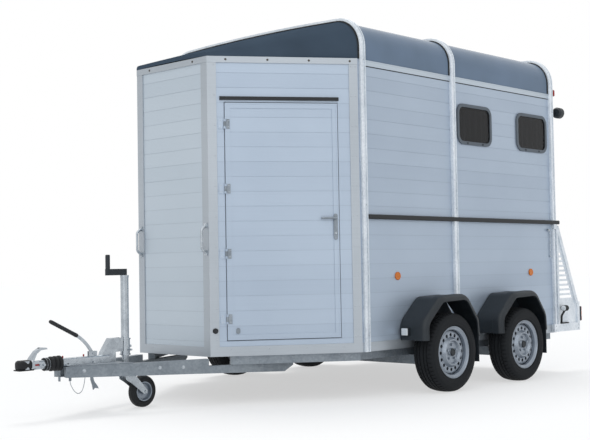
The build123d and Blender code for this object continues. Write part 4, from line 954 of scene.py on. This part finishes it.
DOOR_SEAL_R = 0.0028
seal = bmesh.new()
low_run, high_run = DOOR_RUN[0] - DOOR_GAP, DOOR_RUN[1] + DOOR_GAP
low_z, high_z = DOOR_Z[0] - DOOR_GAP, DOOR_Z[1] + DOOR_GAP
corners = [(low_run, low_z), (high_run, low_z), (high_run, high_z), (low_run, high_z)]
bead(seal, [on_nose(run, z, -SEAL_DEEP) for run, z in corners], DOOR_SEAL_R)
grey_seal = moulded("grey_door_seal", ("7E8791", "8E97A1"), 0.6)
piece("door_seal", seal, grey_seal, "trailer")

# Lamps and reflectors
# Moulded acrylic lenses over black housings. Small prisms inside the lens, 4 mm apart, throw
# light back and break up the colour.
def lens(name, codes):
    """Coloured acrylic with a field of prisms under a smooth skin."""
    material, tree, shader, place = finish_named(
        name, Roughness=0.12, Specular_IOR_Level=0.3, Coat_Weight=0.2, Coat_Roughness=0.04
    )
    prisms = add(tree, "ShaderNodeTexVoronoi", {"Vector": place, "Scale": 250.0}, distance="CHEBYCHEV")
    two_tone(tree, shader, prisms.outputs[0], codes)
    emboss(tree, shader, prisms.outputs[0], 0.4, 0.0006)
    return material


red_lens = lens("red_acrylic", ("B0201A", "6E0F0D"))
orange_lens = lens("orange_acrylic", ("E27A08", "A85404"))
white_lens = lens("clear_acrylic", ("E3E8EC", "A9B0B6"))
dress(orange_lens, "reflectors")


def boxed(name, low, high, side, rounding, material, slot, stands_for=None):
    """A rounded block on the left side, or its mirror image on the right."""
    bm = bmesh.new()
    slab(bm, *mirrored(low, high, side), rounding, 3)
    made = piece(name, bm, material, "trailer")
    if stands_for:
        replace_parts(made, stands_for)


REAR_LAMP_X = (-2.622, -2.5953)
REAR_LAMP_Y = (0.996, 1.066)
REAR_LAMP_Z = (0.430, 0.560)
BASE_X = (REAR_LAMP_X[0] + 0.012, REAR_LAMP_X[1])
LENS_X = (REAR_LAMP_X[0], REAR_LAMP_X[0] + 0.013)
LENS_Y = (REAR_LAMP_Y[0] + 0.003, REAR_LAMP_Y[1] - 0.003)
BANDS = (("stop", 0.003, 0.046, red_lens), ("turn", 0.048, 0.086, orange_lens))
BANDS += (("tail", 0.088, 0.127, red_lens),)
HIGH_LAMP = ((-2.249, 1.001, 2.440), (-2.2333, 1.049, 2.500))
HIGH_LENS = ((-2.275, 0.999, 2.441), (-2.248, 1.051, 2.499))
FRONT_LAMP = ((-0.0097, 1.046, 0.440), (0.011, 1.122, 0.496))
FRONT_LENS = ((0.010, 1.064, 0.442), (0.023, 1.120, 0.494))
for side_name, side in SIDES:
    base = f"rear_lamp_base_{side_name}"
    low, high = zip(BASE_X, REAR_LAMP_Y, REAR_LAMP_Z)
    boxed(base, low, high, side, 0.004, guard_plastic, "guard_plastic", "rear_lights")
    for use, bottom, top, material in BANDS:
        low, high = zip(LENS_X, LENS_Y, (REAR_LAMP_Z[0] + bottom, REAR_LAMP_Z[0] + top))
        boxed(f"rear_lens_{use}_{side_name}", low, high, side, 0.003, material, "lamp_red")
    base = f"high_lamp_base_{side_name}"
    boxed(base, *HIGH_LAMP, side, 0.004, guard_plastic, "guard_plastic", "marker_lamps")
    boxed(f"high_lamp_lens_{side_name}", *HIGH_LENS, side, 0.009, red_lens, "lamp_red")
    base = f"front_lamp_base_{side_name}"
    boxed(base, *FRONT_LAMP, side, 0.003, guard_plastic, "guard_plastic", "marker_lamps")
    boxed(f"front_lamp_lens_{side_name}", *FRONT_LENS, side, 0.006, white_lens, "lamp_red")

# Outline lamp heads
# Each rubber arm ends in a two-ended lamp, white to the front and red to the rear. Its moulded
# acrylic lenses are pressed into the rubber.
GLASS = [(0.0, 0.0), (0.0, 0.0235), (0.006, 0.0225), (0.0115, 0.018), (0.0135, 0.010), (0.0140, 0.0)]
OUTLINE_ENDS = (("front", -2.266, 1, white_lens), ("rear", -2.314, -1, red_lens))
OUTLINE_Y = 1.086
OUTLINE_Z = 0.555
for side_name, side in SIDES:
    for use, x, way, material in OUTLINE_ENDS:
        bm = bmesh.new()
        turn(bm, GLASS, (x, side * OUTLINE_Y, OUTLINE_Z), (way, 0, 0), 28)
        piece(f"outline_lens_{use}_{side_name}", bm, material, "trailer")

# Work lamp
# A black moulded housing with cooling ribs behind. A zinc-plated steel bezel is pressed over
# its edge and holds a nearly flat clear glass.
LAMP_FACE = (-2.357, 1.044, 2.297)
BEZEL = [(-0.004, 0.0375), (0.0015, 0.0375), (0.0025, 0.036), (0.0025, 0.033), (0.0005, 0.0315)]
BEZEL += [(-0.004, 0.0315), (-0.004, 0.0375)]
FRONT_GLASS = [(-0.004, 0.0), (-0.004, 0.032), (0.0, 0.0315), (0.0008, 0.020), (0.0010, 0.0)]
bm = bmesh.new()
turn(bm, BEZEL, LAMP_FACE, (-1, 0, 0), 36)
piece("work_lamp_bezel", bm, plated, "trailer")
bm = bmesh.new()
turn(bm, FRONT_GLASS, LAMP_FACE, (-1, 0, 0), 36)
piece("work_lamp_glass", bm, white_lens, "trailer")

# Grease caps and wear pointer
# The shaft in its cast housing is greased through two nipples under red moulded caps. A red
# pointer on the head's side shows how far the coupling is worn.
NIPPLE = [(-0.002, 0.0), (-0.002, 0.0042), (0.004, 0.0042), (0.005, 0.0058), (0.013, 0.0055)]
NIPPLE += [(0.0155, 0.0035), (0.0160, 0.0)]
NIPPLE_X = (2.262, 2.095)
NIPPLE_Z = 0.3853
POINTER = ((2.462, 0.0285, 0.352), (2.492, 0.0310, 0.364))
red_cap = moulded("red_polyethylene_cap", ("7E1518", "96201F"), 0.45, 0.001, 0.1, 0.5)
caps = bmesh.new()
for x in NIPPLE_X:
    turn(caps, NIPPLE, (x, 0.0, NIPPLE_Z), (0, 0, 1), 16)
slab(caps, *POINTER, 0.001, 1)
piece("grease_caps", caps, red_cap, "trailer")

# Coupling hood
# A moulded rubber hood with a low brim round its foot is pushed over the head while the trailer
# is parked.
HOOD = ((2.505, -0.034, 0.3265), (2.6125, 0.034, 0.3925))
BRIM = ((2.5035, -0.036, 0.3255), (2.6135, 0.036, 0.334))
hood = bmesh.new()
slab(hood, *HOOD, 0.022, 5)
slab(hood, *BRIM, 0.003, 2)
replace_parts(piece("coupling_hood", hood, black_rubber, "trailer", 60), "coupling_cap")

# Handbrake grip
# A black plastic sleeve, moulded with seven shallow rings for the fingers and pushed on the end
# of the steel lever.
ELBOW = Vector((2.157, 0.0, 0.5313))
TIP = Vector((2.352, 0.0, 0.6283))
GRIP_LONG = (TIP - ELBOW).length
GRIP_RINGS = [0.036 + ring * 0.022 for ring in range(7)]
GRIP = [(-0.012, 0.0), (-0.012, 0.0128), (0.0, 0.0142), (0.020, 0.0134)]
for start in GRIP_RINGS:
    GRIP += [(start, 0.0136), (start + 0.007, 0.0127), (start + 0.014, 0.0136)]
GRIP += [(GRIP_LONG - 0.006, 0.0134), (GRIP_LONG + 0.006, 0.0118), (GRIP_LONG + 0.0125, 0.0065)]
GRIP += [(GRIP_LONG + 0.014, 0.0)]
grip = bmesh.new()
turn(grip, GRIP, ELBOW, TIP - ELBOW, 28)
piece("handbrake_grip", grip, black_rail, "trailer")

# Boot clips
# Two rings of zinc-plated spring wire, 2.2 mm thick, are snapped over the rubber boot and hold
# it on the shaft.
CLIP_X = (2.384, 2.404)
CLIP_R = 0.0423
WIRE_R = 0.0011
SHAFT_Z = 0.3553
clip = bmesh.new()
for x in CLIP_X:
    angles = [math.pi * step / 18 for step in range(36)]
    ring = [(x, CLIP_R * math.cos(a), SHAFT_Z + CLIP_R * math.sin(a)) for a in angles]
    bead(clip, ring, WIRE_R, steps=6)
piece("boot_clips", clip, plated, "trailer")

# Bolts of the drawbar
# Zinc-plated hexagon heads on round washers, along the outer side of each beam. They hold the
# coupling and the jockey clamp to the beams.
BOLT_SIZE = 0.9
WASHER = [(0.0, 0.0), (0.0, 0.0140), (0.0020, 0.0140), (0.0020, 0.0098), (0.0020, 0.0)]
HEXAGON = [(0.0020, 0.0), (0.0020, 0.0098), (0.0095, 0.0098), (0.0105, 0.0082), (0.0105, 0.0)]
BOLT_PLACES = ((2.16, 0.300), (1.66, 0.292), (1.50, 0.286))
BEAM_TIP = (2.274, 0.045)
BEAM_SLOPE = 0.3444
BEAM_HALF = 0.025
bm = bmesh.new()
for side in (1, -1):
    beam_out = Vector((0.3256, side * 0.9455, 0.0))
    for x, z in BOLT_PLACES:
        middle_y = BEAM_TIP[1] + (BEAM_TIP[0] - x) * BEAM_SLOPE
        place = Vector((x, side * middle_y, z)) + beam_out * BEAM_HALF
        for profile, steps in ((WASHER, 20), (HEXAGON, 6)):
            scaled = [(along * BOLT_SIZE, radius * BOLT_SIZE) for along, radius in profile]
            turn(bm, scaled, place, beam_out, steps)
piece("drawbar_bolts", bm, plated, "trailer")

# Breakaway cable
# A thin steel cable, 5 mm thick over its clear sleeve, hangs in a loop from its lug to the brake
# gear. The photograph shows it from end to end.
cable_steel = zinc_dip("twisted_cable_steel", ("9AA1A8", "B7BDC3"), 0.004, 0.35, 0.8)
CABLE = [
    (2.244, 0.056, 0.237),
    (2.244, 0.056, 0.217),
    (2.208, 0.053, 0.163),
    (2.170, 0.049, 0.143),
    (2.128, 0.045, 0.175),
    (2.102, 0.040, 0.327),
    (2.102, 0.040, 0.331),
]
cable_curve = bpy.data.curves.new("breakaway_cable_line", "CURVE")
cable_curve.dimensions = "3D"
cable_curve.bevel_depth = 0.0025
cable_curve.bevel_resolution = 3
cable_curve.resolution_u = 12
spline = cable_curve.splines.new("NURBS")
spline.points.add(len(CABLE) - 1)
for point, place in zip(spline.points, CABLE):
    point.co = (*place, 1.0)
spline.order_u = 3
spline.use_endpoint_u = True
cable_curve.materials.append(cable_steel)
cable = bpy.data.objects.new("breakaway_cable_loop", cable_curve)
bpy.context.collection.objects.link(cable)
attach(cable, "trailer")
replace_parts(cable, "breakaway_cable")

low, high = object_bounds()
